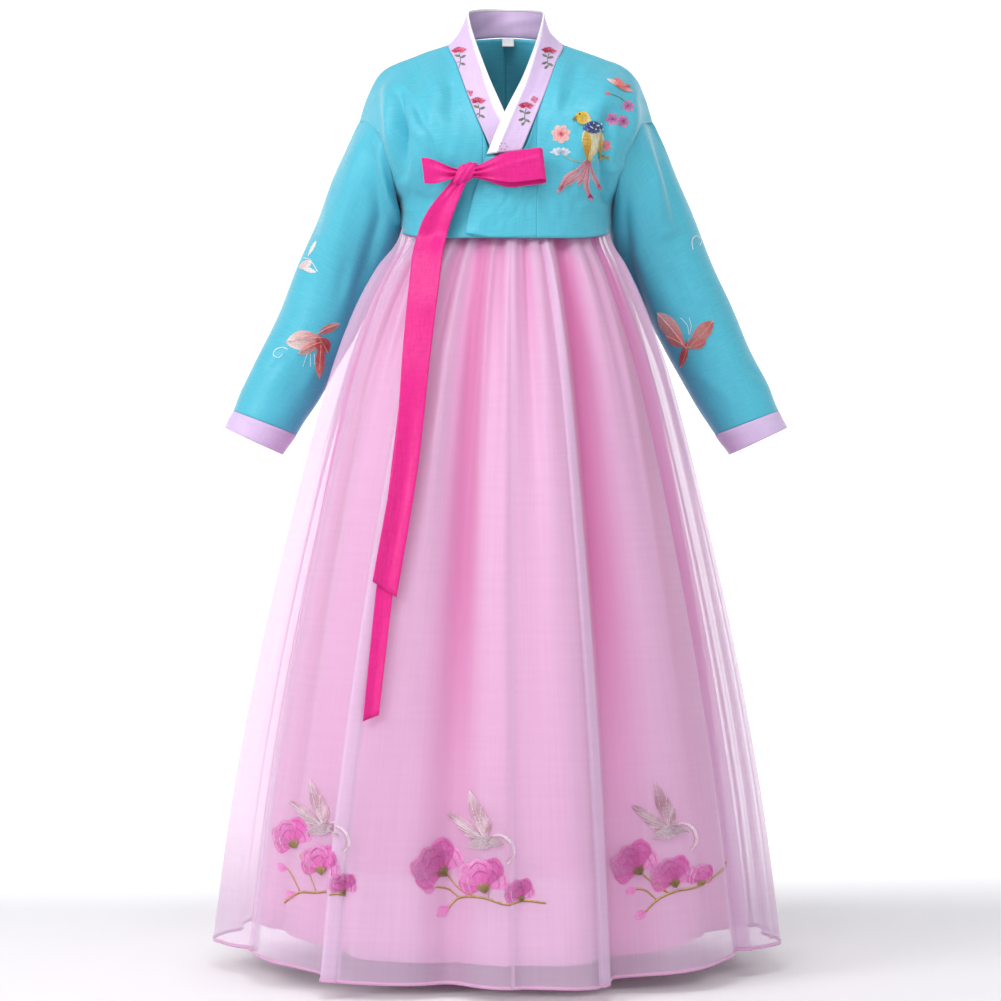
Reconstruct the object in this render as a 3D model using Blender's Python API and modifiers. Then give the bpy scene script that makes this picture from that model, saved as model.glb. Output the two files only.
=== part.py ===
"""A worn women's hanbok, empty inside: a short wrapped jacket (jeogori) over a long gathered skirt (chima).

Metres, +Z up. The front faces -Y and the wearer's left is at +X. The origin is midway between the two
points where the collar meets the shoulders, which is where the wearer's shoulders carry the jacket.
Each cut and sewn piece is one object. A piece is a grid of points worked out from the tables below,
and a Solidify modifier gives it the thickness of its cloth.
"""

import math
from collections import namedtuple

import bmesh
import bpy
from mathutils import Vector

CLOTH = 0.0012  # wall of the jacket and skirt cloth
RIBBON = 0.0010  # wall of the tie ribbons
SEAM_GAP = 0.0004  # between two pieces that are sewn together
LAP = 0.0026  # how far the upper front stands off the lower one where they wrap

# Jacket landmarks on the wearer's left, from which the right side is mirrored.
NECK = Vector((0.0765, 0.004, 0.001))
SHOULDER_END = Vector((0.1965, 0.014, -0.1010))
UNDERARM = Vector((0.1440, 0.018, -0.2120))
SIDE_HEM = Vector((0.1385, 0.000, -0.2520))
BACK_NECK = Vector((0.0, 0.0720, 0.0200))
BACK_HEM = Vector((0.0, 0.1060, -0.2540))
FRONT_HEM_Y, FRONT_HEM_Z = -0.1180, -0.2670

SHOULDER_LINE = (NECK, Vector((0.127, 0.008, -0.016)), Vector((0.166, 0.011, -0.0345)),
                 Vector((0.185, 0.013, -0.066)), SHOULDER_END)
ARMHOLE_FRONT = (SHOULDER_END, Vector((0.176, -0.034, -0.114)), Vector((0.158, -0.054, -0.146)),
                 Vector((0.148, -0.040, -0.188)), UNDERARM)
ARMHOLE_BACK = (SHOULDER_END, Vector((0.178, 0.058, -0.114)), Vector((0.162, 0.082, -0.146)),
                Vector((0.150, 0.070, -0.188)), UNDERARM)
BACK_NECKLINE = (BACK_NECK, Vector((0.045, 0.056, 0.0145)), NECK)
# The collar's seam down the front, and the same line run on under the wrap.
FRONT_NECKLINE = (NECK, Vector((0.0660, -0.040, -0.030)), Vector((0.0520, -0.074, -0.072)),
                  Vector((0.0370, -0.096, -0.112)), Vector((0.0210, -0.1095, -0.1520)))
OVERLAP_SEAM_X = 0.0400  # where the upper front's overlap panel is joined on
UNDERLAP_SEAM_X = 0.0300  # and the lower front's
CHEST_FULLNESS, SHOULDER_BLADE_FULLNESS = 0.010, 0.007
# Soft folds that run from the armholes down the fronts, each a line in the front view.
Crease = namedtuple("Crease", "top_x top_z foot_x foot_z width out")
FRONT_CREASES = (
    Crease(0.1450, -0.0600, 0.1400, -0.2100, 0.0090, -0.0070),
    Crease(0.1280, -0.0700, 0.1120, -0.1750, 0.0120, 0.0040),
)

# Sleeve sections, from the armhole to the cuff's edge: the upper and lower line of the sleeve in the
# front view, the middle of its depth, and half its depth.
SleeveSection = namedtuple("SleeveSection", "upper_x upper_z lower_x lower_z middle_y half_depth")
SLEEVE = (
    SleeveSection(0.1970, -0.1018, 0.1446, -0.2132, 0.016, 0.066),
    SleeveSection(0.2190, -0.1470, 0.1520, -0.2420, 0.024, 0.066),
    SleeveSection(0.2460, -0.2110, 0.1665, -0.2800, 0.040, 0.060),
    SleeveSection(0.2840, -0.3000, 0.1930, -0.3480, 0.056, 0.055),
    SleeveSection(0.3200, -0.3820, 0.2245, -0.4200, 0.060, 0.051),
    SleeveSection(0.3515, -0.4480, 0.2580, -0.4780, 0.056, 0.047),
    SleeveSection(0.3680, -0.4870, 0.2835, -0.5190, 0.052, 0.044),
)
CUFF = (
    SleeveSection(0.3682, -0.4874, 0.2837, -0.5194, 0.052, 0.044),
    SleeveSection(0.3795, -0.5105, 0.3030, -0.5460, 0.050, 0.041),
)

# Collar: its free edge above the neck seam, at the wearer's left side, the back and the lapped fronts.
COLLAR_BACK_TOP = Vector((0.0, 0.0680, 0.0590))
COLLAR_SIDE_TOP = Vector((0.0515, 0.002, 0.0400))
COLLAR_CROSSING = Vector((-0.0020, -0.0950, -0.1060))
GUARD_AT_BACK, GUARD_AT_FRONT = 0.06, 0.30  # the white strip's share of the collar's width

# Skirt sections: half width, half depth and the middle's place, how deep the gathers are, and how far
# the folds have opened, from the waist to the hem.
SkirtSection = namedtuple("SkirtSection", "z half_width half_depth middle_x middle_y gather opened")
SKIRT = (
    SkirtSection(-0.2050, 0.1270, 0.0930, 0.0000, 0.000, 0.0020, 0.00),
    SkirtSection(-0.2610, 0.1300, 0.0990, 0.0000, -0.004, 0.0026, 0.04),
    SkirtSection(-0.3020, 0.1560, 0.1310, -0.0020, -0.003, 0.0044, 0.10),
    SkirtSection(-0.3650, 0.1865, 0.1660, -0.0035, -0.001, 0.0048, 0.20),
    SkirtSection(-0.4600, 0.2215, 0.2040, -0.0050, 0.003, 0.0038, 0.34),
    SkirtSection(-0.6200, 0.2660, 0.2500, -0.0075, 0.008, 0.0025, 0.56),
    SkirtSection(-0.8200, 0.3105, 0.2920, -0.0095, 0.014, 0.0010, 0.74),
    SkirtSection(-1.0200, 0.3455, 0.3200, -0.0110, 0.020, 0.0005, 0.90),
    SkirtSection(-1.2136, 0.3690, 0.3350, -0.0115, 0.026, 0.0000, 1.00),
)
LINING = (
    SkirtSection(-0.2050, 0.1205, 0.0865, 0.0000, 0.000, 0.0008, 0.00),
    SkirtSection(-0.2600, 0.1225, 0.0920, 0.0000, -0.004, 0.0012, 0.02),
    SkirtSection(-0.3650, 0.1690, 0.1480, -0.0035, -0.001, 0.0015, 0.12),
    SkirtSection(-0.4800, 0.2060, 0.1880, -0.0050, 0.002, 0.0015, 0.22),
    SkirtSection(-0.8200, 0.2680, 0.2500, -0.0080, 0.012, 0.0006, 0.45),
    SkirtSection(-1.1900, 0.3180, 0.2960, -0.0100, 0.024, 0.0000, 0.65),
)
HEM_LIFT = 0.0190  # the skirt's hem rises this much at its sides
# Pleats and folds that open from the gathers to the hem, in degrees from the centre front towards the
# wearer's left: where each runs, how wide it is on either side, and how far it stands out at the hem.
Fold = namedtuple("Fold", "waist_deg hem_deg right_deg left_deg out")
FOLDS = (
    Fold(-29, -32, 3, 11, 0.034), Fold(-13, -10, 5, 6, -0.030), Fold(-1, 2, 8, 2, 0.010),
    Fold(18, 17, 10, 4, 0.032), Fold(29, 27, 4, 6, -0.030), Fold(43, 43, 7, 7, 0.010),
    Fold(58, 62, 4, 5, -0.022), Fold(74, 78, 6, 7, 0.014), Fold(92, 94, 6, 5, -0.012),
    Fold(101, 101, 4, 4, 0.008), Fold(111, 111, 4, 4, -0.014), Fold(123, 123, 6, 6, 0.014),
    Fold(137, 137, 5, 5, -0.016), Fold(151, 150, 6, 6, 0.014), Fold(165, 164, 5, 5, -0.016),
    Fold(178, 178, 6, 6, 0.014), Fold(-168, -168, 5, 5, -0.018),
    Fold(-152, -151, 7, 6, 0.016), Fold(-135, -135, 5, 5, -0.018), Fold(-117, -117, 6, 7, 0.014),
    Fold(-101, -101, 5, 5, -0.014), Fold(-84, -84, 7, 6, 0.012), Fold(-66, -66, 5, 5, -0.020),
    Fold(-48, -50, 6, 5, 0.008),
)
GATHERS = 30  # small pleats set into the waistband
FRONT_SEAM_DEG = 3.0  # a seam shows as a fine upright line just left of the centre front
SKIRT_LENGTHS = (("right", -117.0, FRONT_SEAM_DEG, 40), ("left", FRONT_SEAM_DEG, 123.0, 40),
                 ("back", 123.0, 243.0, 24))
LINING_LENGTHS = (("front", -57.0, 74.0, 20), ("left", 74.0, 183.0, 15), ("right", 183.0, 303.0, 16))

WAISTBAND_TOP, WAISTBAND_FOOT = -0.1500, -0.2046
WAISTBAND_HALF_WIDTH, WAISTBAND_HALF_DEPTH = 0.1250, 0.0900

# Bow and ties, in front of the chest.
KNOT = Vector((-0.0530, -0.1270, -0.1840))
KNOT_HALF_LENGTH, KNOT_HALF_HEIGHT, KNOT_HALF_DEPTH = 0.0150, 0.0135, 0.0085
BOW_TILT = math.radians(7)  # the bow rises towards the wearer's left
LOOP_REACH, LOOP_HALF_WIDTH, LOOP_HALF_DEPTH = 0.0930, 0.0205, 0.0060
STUB_REACH, STUB_HALF_WIDTH = 0.0470, 0.0170
# Each tail's middle line: place, half width, and how far its face is turned to the wearer's left.
TailSection = namedtuple("TailSection", "x clear z half_width turn_deg")
TAIL_SHORT = (
    TailSection(-0.0660, 0.0130, -0.2000, 0.0110, 20),
    TailSection(-0.0855, 0.0100, -0.2330, 0.0180, 12),
    TailSection(-0.0980, 0.0080, -0.2750, 0.0195, 6),
    TailSection(-0.1040, 0.0080, -0.3300, 0.0195, 3),
    TailSection(-0.1140, 0.0080, -0.4200, 0.0180, 0),
    TailSection(-0.1280, 0.0085, -0.5600, 0.0155, 0),
    TailSection(-0.1540, 0.0085, -0.7200, 0.0150, 0),
)
TAIL_LONG = (
    TailSection(-0.0680, 0.0080, -0.2000, 0.0090, 20),
    TailSection(-0.0870, 0.0055, -0.2330, 0.0145, 12),
    TailSection(-0.0995, 0.0040, -0.2750, 0.0160, 6),
    TailSection(-0.1050, 0.0040, -0.3300, 0.0155, 3),
    TailSection(-0.1150, 0.0040, -0.4200, 0.0130, 0),
    TailSection(-0.1310, 0.0045, -0.5600, 0.0120, 0),
    TailSection(-0.1520, 0.0045, -0.7200, 0.0110, 0),
    TailSection(-0.1700, 0.0045, -0.8800, 0.0100, 0),
)
LABEL_WIDTH, LABEL_HEIGHT, LABEL_RIGHT, LABEL_TOP = 0.0160, 0.0120, 0.0110, 0.0195

TEAL, LILAC, WHITE = (0.09, 0.52, 0.64), (0.72, 0.56, 0.76), (0.90, 0.90, 0.92)
MAGENTA, ORGANZA, PINK = (0.80, 0.01, 0.22), (0.83, 0.66, 0.80), (0.80, 0.30, 0.56)


def smooth(share):
    """0 to 1 with a soft start and a soft end."""
    share = min(1.0, max(0.0, share))
    return share * share * (3 - 2 * share)


def mirrored(point):
    """The same place on the wearer's other side."""
    return Vector((-point.x, point.y, point.z))


def curve_through(points):
    """A smooth curve through the points, as a function of the share of its length."""
    along = [0.0]
    for here, there in zip(points, points[1:]):
        along.append(along[-1] + (there - here).length)

    def slope(i):
        before, after = max(i - 1, 0), min(i + 1, len(points) - 1)
        return (points[after] - points[before]) / (along[after] - along[before])

    def at(share):
        reach = min(1.0, max(0.0, share)) * along[-1]
        i = max(k for k in range(len(points) - 1) if along[k] <= reach + 1e-9)
        span = along[i + 1] - along[i]
        t = (reach - along[i]) / span
        start, end = points[i], points[i + 1]
        leave, arrive = slope(i) * span, slope(i + 1) * span
        return (start * (2 * t**3 - 3 * t**2 + 1) + leave * (t**3 - 2 * t**2 + t)
                + end * (3 * t**2 - 2 * t**3) + arrive * (t**3 - t**2))

    return at


def joined_curves(first, second, share_of_first):
    """One curve after another, with a corner where they meet."""
    def at(share):
        if share <= share_of_first:
            return first(share / share_of_first)
        return second((share - share_of_first) / (1 - share_of_first))
    return at


def patch(bottom, top, inner, outer, fullness=Vector((0, 0, 0))):
    """A surface spanned by four edge curves, filled out in its middle."""
    def at(u, v):
        across = bottom(u).lerp(top(u), v)
        up = inner(v).lerp(outer(v), u)
        corners = bottom(0).lerp(bottom(1), u).lerp(top(0).lerp(top(1), u), v)
        return across + up - corners + fullness * math.sin(math.pi * u) * math.sin(math.pi * v)
    return at


def other_side(place):
    """The mirrored surface, with its columns turned round so that it still faces outwards."""
    return lambda u, v: mirrored(place(1 - u, v))


def section_at(table, share):
    """The table's row at a share of the way down it, and the rows between by straight lines."""
    reach = share * (len(table) - 1)
    i = min(int(reach), len(table) - 2)
    t = reach - i
    return type(table[0])(*(a + (b - a) * t for a, b in zip(table[i], table[i + 1])))


def material(name, colour, roughness=0.6):
    found = bpy.data.materials.get(name) or bpy.data.materials.new(name)
    found.use_nodes = True
    shader = found.node_tree.nodes["Principled BSDF"]
    shader.inputs["Base Color"].default_value = (*colour, 1.0)
    shader.inputs["Roughness"].default_value = roughness
    return found


def cloth(name, place, columns, rows, colour, thickness=CLOTH, outwards=1.0, rolled=False, trim=SEAM_GAP / 2):
    """A piece of cloth: a grid laid on the surface place(u, v), pulled back a little from its seams and
    thickened. u runs to the right and v upwards when the piece is looked at from outside."""
    points = [[place(j / columns, i / rows) for j in range(columns + 1)] for i in range(rows + 1)]
    for line in points if not rolled else ():
        line[0] += (line[1] - line[0]).normalized() * trim
        line[-1] += (line[-2] - line[-1]).normalized() * trim
    for edge, beside in ((points[0], points[1]), (points[-1], points[-2])):
        for j in range(columns + 1):
            edge[j] = edge[j] + (beside[j] - edge[j]).normalized() * trim
    sheet = bmesh.new()
    bmesh.ops.create_grid(sheet, x_segments=columns, y_segments=rows, size=0.5)
    for corner in sheet.verts:
        column, row = round((corner.co.x + 0.5) * columns), round((corner.co.y + 0.5) * rows)
        corner.co = points[row][column]
    if rolled:
        bmesh.ops.remove_doubles(sheet, verts=sheet.verts, dist=1e-5)
    mesh = bpy.data.meshes.new(name)
    sheet.to_mesh(mesh)
    sheet.free()
    mesh.shade_smooth()
    piece = bpy.data.objects.new(name, mesh)
    collection.objects.link(piece)
    wall = piece.modifiers.new("cloth thickness", "SOLIDIFY")
    wall.thickness = thickness
    wall.offset = outwards
    piece.data.materials.append(material(*colour))
    return piece


# Jacket body ------------------------------------------------------------------------------------

def hem_arc(x, half_depth, z_middle):
    """The jacket's hem, an oval seen from above, level with the side seams at its ends."""
    share = min(1.0, abs(x) / SIDE_HEM.x)
    reach = math.sqrt(max(0.0, 1 - share**2.6))
    return Vector((x, half_depth * reach, SIDE_HEM.z + (z_middle - SIDE_HEM.z) * smooth(reach)))


def chest(x, z):
    """The jacket's front near the wrap, as a place in the front view brought onto the chest."""
    neckline = curve_through(FRONT_NECKLINE)
    at_neck = min((neckline(k / 40) for k in range(41)), key=lambda p: abs(p.z - z))
    low = min(1.0, max(0.0, (FRONT_NECKLINE[-1].z - z) / (FRONT_NECKLINE[-1].z - FRONT_HEM_Z)))
    middle_y = at_neck.y - 0.004 + (FRONT_HEM_Y - FRONT_NECKLINE[-1].y + 0.004) * smooth(low)
    return Vector((x, middle_y * math.sqrt(1 - min(1.0, abs(x) / SIDE_HEM.x) ** 2.6), z))


def front_hem(x):
    return hem_arc(x, FRONT_HEM_Y, FRONT_HEM_Z)


def overlap_seam(x):
    """A front's join to its overlap panel, from the hem up to the collar's seam."""
    meets = next(p for p in (curve_through(FRONT_NECKLINE)(k / 200) for k in range(201)) if p.x <= x)
    foot = front_hem(x)
    return curve_through((foot, chest(x, foot.z * 0.66 + meets.z * 0.34), meets)), meets


def crease_out(crease, point):
    """How far a soft fold along a line of the front view moves a point forwards."""
    top, foot = Vector((crease.top_x, crease.top_z)), Vector((crease.foot_x, crease.foot_z))
    along = foot - top
    here = Vector((point.x, point.z)) - top
    share = min(1.0, max(0.0, here.dot(along) / along.length_squared))
    away = (here - along * share).length
    return crease.out * math.exp(-((away / crease.width) ** 2)) * math.sin(math.pi * (0.15 + 0.7 * share))


def front_panel(seam_x):
    """The front from its overlap seam and the neckline out to the armhole and side seam."""
    seam, meets = overlap_seam(seam_x)
    neckline = curve_through(FRONT_NECKLINE)
    share = next(k / 200 for k in range(201) if neckline(k / 200).x <= meets.x)
    inner = joined_curves(seam, lambda t: neckline(share * (1 - t)), 0.58)
    side = curve_through((SIDE_HEM, SIDE_HEM.lerp(UNDERARM, 0.5), UNDERARM))
    armhole = curve_through(ARMHOLE_FRONT)
    outer = joined_curves(side, lambda t: armhole(1 - t), 0.22)
    plain = patch(lambda u: front_hem(seam_x + (SIDE_HEM.x - seam_x) * u), curve_through(SHOULDER_LINE),
                  inner, outer, Vector((0, -CHEST_FULLNESS, 0)))

    def place(u, v):
        point = plain(u, v)
        for crease in FRONT_CREASES:
            point.y -= crease_out(crease, point) * math.sin(math.pi * u) * math.sin(math.pi * v)
        return point
    return place


def back_panel():
    """The left back, from the armhole and side seam in to the centre back seam."""
    side = curve_through((SIDE_HEM, SIDE_HEM.lerp(UNDERARM, 0.5), UNDERARM))
    armhole = curve_through(ARMHOLE_BACK)
    outer = joined_curves(side, lambda t: armhole(1 - t), 0.22)
    centre = curve_through((BACK_HEM, Vector((0, 0.1080, -0.150)), Vector((0, 0.0960, -0.060)), BACK_NECK))
    shoulder, neck = curve_through(SHOULDER_LINE), curve_through(BACK_NECKLINE)
    top = joined_curves(lambda t: shoulder(1 - t), lambda t: neck(1 - t), 0.62)
    return patch(lambda u: hem_arc(SIDE_HEM.x * (1 - u), BACK_HEM.y, BACK_HEM.z), top,
                 outer, centre, Vector((0, SHOULDER_BLADE_FULLNESS, 0)))


def overlap_panel(seam_x, free_top, free_foot_x, stand_off):
    """The panel that wraps past the centre front, from its free edge to its seam. It stands off the
    front beside it by stand_off."""
    seam, meets = overlap_seam(seam_x)
    neckline = curve_through(FRONT_NECKLINE)
    top = curve_through((chest(*free_top), neckline(1.0) + Vector((-0.0020, 0, -0.0040)), meets))
    free = curve_through((front_hem(free_foot_x), chest((free_top[0] + free_foot_x) / 2, -0.205),
                          chest(*free_top)))
    flat = patch(lambda u: front_hem(free_foot_x + (seam_x - free_foot_x) * u), top, free, seam)

    def place(u, v):
        point = flat(u, v)
        point.y -= stand_off * smooth((1 - u) / 0.45)
        return point
    return place


# Sleeves, cuffs and collar ----------------------------------------------------------------------

def oval(section, turn):
    """A point of a sleeve section: turn 0 is on the upper line, a quarter in front, a half below."""
    upper = Vector((section.upper_x, section.middle_y, section.upper_z))
    lower = Vector((section.lower_x, section.middle_y, section.lower_z))
    angle = 2 * math.pi * turn
    out = upper.lerp(lower, 0.5 - 0.5 * math.cos(angle))
    out.y -= section.half_depth * math.sin(angle)
    return out


def sleeve(u, v):
    """The wearer's left sleeve: v 0 is the cuff seam and 1 the armhole, which it meets all round."""
    down = 1 - v
    turn = 1 - u
    point = oval(section_at(SLEEVE, down), turn)
    front, back = curve_through(ARMHOLE_FRONT), curve_through(ARMHOLE_BACK)
    armhole = front(2 * turn) if turn <= 0.5 else back(2 - 2 * turn)
    apart = (armhole - oval(SLEEVE[0], turn)) * (1 - smooth(down * 3.2))
    lower = 0.5 - 0.5 * math.cos(2 * math.pi * turn)
    clear = Vector((0.0010 + 0.0026 * lower, 0, -0.0008)) * (1 - smooth(down * 4))
    return point + apart + clear


def cuff(u, v):
    return oval(section_at(CUFF, 1 - v), 1 - u)


def collar_lines():
    """The collar's seam and its free edge, each from the lower front's end round to the upper front's."""
    seam_right = [mirrored(p) for p in reversed(FRONT_NECKLINE)]
    seam_right[0] = Vector((-0.0190, -0.1070, -0.1520))
    seam = curve_through((*seam_right[:-1], mirrored(NECK), mirrored(BACK_NECKLINE[1]), BACK_NECK,
                          BACK_NECKLINE[1], *FRONT_NECKLINE))
    under_end = Vector((0.0190, -0.1010, -0.1500))
    over_end = Vector((-0.0250, -0.1140, -0.1580))
    edge = curve_through((
        under_end, COLLAR_CROSSING + Vector((0.0005, 0.0030, 0.0050)), Vector((-0.0250, -0.066, -0.045)),
        mirrored(COLLAR_SIDE_TOP), Vector((-0.0400, 0.044, 0.0545)), COLLAR_BACK_TOP,
        Vector((0.0400, 0.044, 0.0545)), COLLAR_SIDE_TOP,
        Vector((0.0250, -0.070, -0.045)), COLLAR_CROSSING + Vector((-0.0005, -0.0040, 0.0030)), over_end))
    return seam, edge


def guard_share(u):
    """Where across the collar the white strip begins: it is narrow behind the neck and broad in front."""
    return 1 - GUARD_AT_BACK - (GUARD_AT_FRONT - GUARD_AT_BACK) * smooth((abs(2 * u - 1) - 0.25) / 0.60)


def collar_place(strip):
    """The collar (strip 0) or the white strip on its free edge (strip 1). The upper end of each stands
    off the lower where they cross."""
    seam, edge = collar_lines()

    def place(u, v):
        low, high = (0.035, guard_share(u) - 0.004) if strip == 0 else (guard_share(u) + 0.004, 1.0)
        point = seam(u).lerp(edge(u), low + (high - low) * v)
        over = smooth((u - 0.80) / 0.14)
        under = smooth((0.20 - u) / 0.14)
        point.y += (-LAP * over + 0.0012 * under)
        return point
    return place


def label(u, v):
    """The blank tab that hangs inside the back neck, facing the front."""
    return Vector((LABEL_RIGHT - LABEL_WIDTH * (1 - u), BACK_NECK.y - 0.0035,
                   LABEL_TOP - LABEL_HEIGHT * (1 - v)))


# Skirt ------------------------------------------------------------------------------------------

def fold_out(degrees, down):
    """How far all the folds together stand out at an angle, at a share of the way to the hem."""
    out = 0.0
    for fold in FOLDS:
        middle = fold.waist_deg + (fold.hem_deg - fold.waist_deg) * down
        away = (degrees - middle + 180) % 360 - 180
        width = fold.left_deg if away > 0 else fold.right_deg
        out += fold.out * math.exp(-((away / width) ** 2))
    return out


def skirt_point(section, degrees, down):
    """A point of a skirt section, at an angle from the centre front towards the wearer's left."""
    angle = math.radians(degrees)
    out = section.opened * fold_out(degrees, down)
    from_seam = math.radians(degrees - FRONT_SEAM_DEG)
    out += section.gather * math.cos(GATHERS * from_seam + 1.4 * math.sin(3 * from_seam))
    lift = HEM_LIFT * down**6 * smooth((1.05 - abs(math.cos(angle))) / 0.55)
    return Vector((section.middle_x + (section.half_width + out) * math.sin(angle),
                   section.middle_y - (section.half_depth + out) * math.cos(angle), section.z + lift))


def skirt_length(table, first_deg, last_deg):
    """One length of the skirt: v 0 is its hem and 1 its gathered top."""
    def place(u, v):
        down = 1 - v
        return skirt_point(section_at(table, down), first_deg + (last_deg - first_deg) * u, down)
    return place


def waistband(u, v):
    angle = 2 * math.pi * u
    return Vector((WAISTBAND_HALF_WIDTH * math.sin(angle), -WAISTBAND_HALF_DEPTH * math.cos(angle),
                   WAISTBAND_FOOT + (WAISTBAND_TOP - WAISTBAND_FOOT) * v))


# Bow and ties -----------------------------------------------------------------------------------

def from_knot(along, forward, up):
    """A place beside the knot, along the tilted bow, towards the viewer and upwards."""
    c, s = math.cos(BOW_TILT), math.sin(BOW_TILT)
    return KNOT + Vector((along * c - up * s, -forward, along * s + up * c))


def knot(u, v):
    """The band round the knot, a short tube pinched at its ends."""
    angle = 2 * math.pi * u
    along = KNOT_HALF_LENGTH * (2 * v - 1)
    pinch = 1 - 0.22 * (2 * v - 1) ** 2
    return from_knot(along, KNOT_HALF_DEPTH * pinch * math.sin(angle), KNOT_HALF_HEIGHT * pinch * math.cos(angle))


def loop(u, v):
    """The bow's loop: out along the front, round its end and back behind."""
    turn = math.pi * smooth((u - 0.40) / 0.20)
    out = 1 - abs(2 * u - 1)
    reach = LOOP_REACH * min(1.0, out / 0.80) + 0.006 * math.sin(turn)
    spread = 0.30 + 0.70 * smooth(reach / 0.060)
    forward = LOOP_HALF_DEPTH * math.cos(turn) * (0.42 + 0.58 * smooth(reach / 0.050))
    droop = -0.0050 * (1 - math.cos(turn)) / 2 * smooth(reach / 0.05)
    return from_knot(0.004 + reach, forward, LOOP_HALF_WIDTH * spread * (2 * v - 1) + droop)


def stub(u, v):
    """The tie's short end, on the wearer's right of the knot."""
    out = 1 - u
    spread = 0.34 + 0.66 * smooth(out * 1.15)
    return from_knot(-0.007 - STUB_REACH * out, 0.0, STUB_HALF_WIDTH * spread * (2 * v - 1) + 0.010 * out)


def front_of_skirt(x, z):
    """How far forward the skirt, or the jacket above it, stands at a place in the front view."""
    if z > -0.2530:
        return chest(x, z).y - LAP - CLOTH
    lower = next(i for i, row in enumerate(SKIRT) if row.z <= z)
    share = (SKIRT[lower - 1].z - z) / (SKIRT[lower - 1].z - SKIRT[lower].z)
    down = (lower - 1 + share) / (len(SKIRT) - 1)
    section = section_at(SKIRT, down)
    sine = (x - section.middle_x) / section.half_width
    degrees = math.degrees(math.asin(max(-1.0, min(1.0, sine))))
    return min(skirt_point(section, degrees + turn, down).y for turn in (-5, -2.5, 0, 2.5, 5)) - CLOTH


def tail(table, end_slant):
    """A hanging tie end. It follows the jacket and the skirt, clear of them, and is cut on a slant."""
    def place(u, v):
        section = section_at(table, 1 - v)
        across = (2 * u - 1) * section.half_width
        turn = math.radians(section.turn_deg)
        z = section.z - end_slant * (2 * u - 1) * smooth((0.30 - v) / 0.30)
        behind = min(front_of_skirt(section.x + side * section.half_width, z + rise)
                     for side in (-1, 0, 1) for rise in (-0.012, 0, 0.012))
        return Vector((section.x + across * math.cos(turn), behind - section.clear - across * math.sin(turn), z))
    return place


# The pieces -------------------------------------------------------------------------------------

for old in list(bpy.data.objects):
    bpy.data.objects.remove(old)
collection = bpy.data.collections.new("hanbok")
bpy.context.scene.collection.children.link(collection)

teal = ("jacket_cloth", TEAL)
lilac = ("collar_cloth", LILAC)
magenta = ("ribbon", MAGENTA, 0.45)
organza = ("organza", ORGANZA)
pink = ("lining_cloth", PINK, 0.5)
white = ("white_tape", WHITE, 0.5)

front_left, front_right = front_panel(OVERLAP_SEAM_X), other_side(front_panel(UNDERLAP_SEAM_X))
cloth("front_left", front_left, 9, 9, teal)
cloth("front_right", front_right, 9, 9, teal)
cloth("overlap_left", overlap_panel(OVERLAP_SEAM_X, (-0.0260, -0.1620), -0.0550, LAP), 6, 4, teal,
      trim=2.5 * SEAM_GAP)
underlap = overlap_panel(UNDERLAP_SEAM_X, (-0.0240, -0.1660), -0.0480, -2.5 * LAP)
cloth("underlap_right", other_side(underlap), 5, 4, teal)
back_left = back_panel()
cloth("back_left", back_left, 8, 8, teal)
cloth("back_right", other_side(back_left), 8, 8, teal)
cloth("sleeve_left", sleeve, 18, 8, teal, rolled=True)
cloth("sleeve_right", other_side(sleeve), 18, 8, teal, rolled=True)
cloth("cuff_left", cuff, 18, 1, lilac, rolled=True)
cloth("cuff_right", other_side(cuff), 18, 1, lilac, rolled=True)

cloth("collar", collar_place(0), 36, 1, lilac)
cloth("collar_guard", collar_place(1), 36, 1, white)
cloth("label", label, 1, 1, white, RIBBON)

for side, first, last, columns in SKIRT_LENGTHS:
    cloth(f"skirt_{side}", skirt_length(SKIRT, first, last), columns, len(SKIRT) - 1, organza)
for side, first, last, columns in LINING_LENGTHS:
    cloth(f"lining_{side}", skirt_length(LINING, first, last), columns, len(LINING) - 1, pink)
cloth("waistband", waistband, 28, 1, pink, rolled=True)

cloth("bow_knot", knot, 12, 2, magenta, RIBBON, rolled=True)
cloth("bow_loop", loop, 18, 2, magenta, RIBBON, 0.0)
cloth("bow_stub", stub, 5, 2, magenta, RIBBON, 0.0)
cloth("tie_short", tail(TAIL_SHORT, 0.0100), 2, 11, magenta, RIBBON, 0.0)
cloth("tie_long", tail(TAIL_LONG, -0.0040), 2, 13, magenta, RIBBON, 0.0)
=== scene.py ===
"""A women's hanbok, filled out as worn and empty inside: a short teal wrapped jacket (jeogori) with a lilac
collar and cuffs, tied with a magenta ribbon, over a long gathered skirt (chima) of sheer organza on a pink
lining. Metres, +Z up, the front towards -Y and the wearer's left at +X. The sections follow the order in
which the set is made and put on: skirt, jacket, collar, ribbon, and the embroidery on each.
"""

import math
from collections import namedtuple

import bpy
import numpy as np
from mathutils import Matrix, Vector
from mathutils.bvhtree import BVHTree


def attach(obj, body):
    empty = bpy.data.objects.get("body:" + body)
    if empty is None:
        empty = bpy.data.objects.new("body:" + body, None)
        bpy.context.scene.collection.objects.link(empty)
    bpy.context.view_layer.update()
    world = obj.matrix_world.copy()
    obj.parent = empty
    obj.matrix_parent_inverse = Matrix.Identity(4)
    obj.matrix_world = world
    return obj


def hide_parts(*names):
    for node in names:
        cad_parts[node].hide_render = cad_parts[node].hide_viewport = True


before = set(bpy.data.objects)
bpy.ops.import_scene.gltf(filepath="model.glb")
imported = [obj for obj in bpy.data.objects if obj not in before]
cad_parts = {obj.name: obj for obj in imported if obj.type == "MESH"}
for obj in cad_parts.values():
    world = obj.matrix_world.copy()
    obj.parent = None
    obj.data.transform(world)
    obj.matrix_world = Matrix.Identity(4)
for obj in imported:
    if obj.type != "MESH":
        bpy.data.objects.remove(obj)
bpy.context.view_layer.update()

# Waistband ----------------------------------------------------------------------------------------
# A straight band of the lining's pink cotton round the chest, under the jacket. The skirt and its lining
# are gathered into its lower edge.

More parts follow.
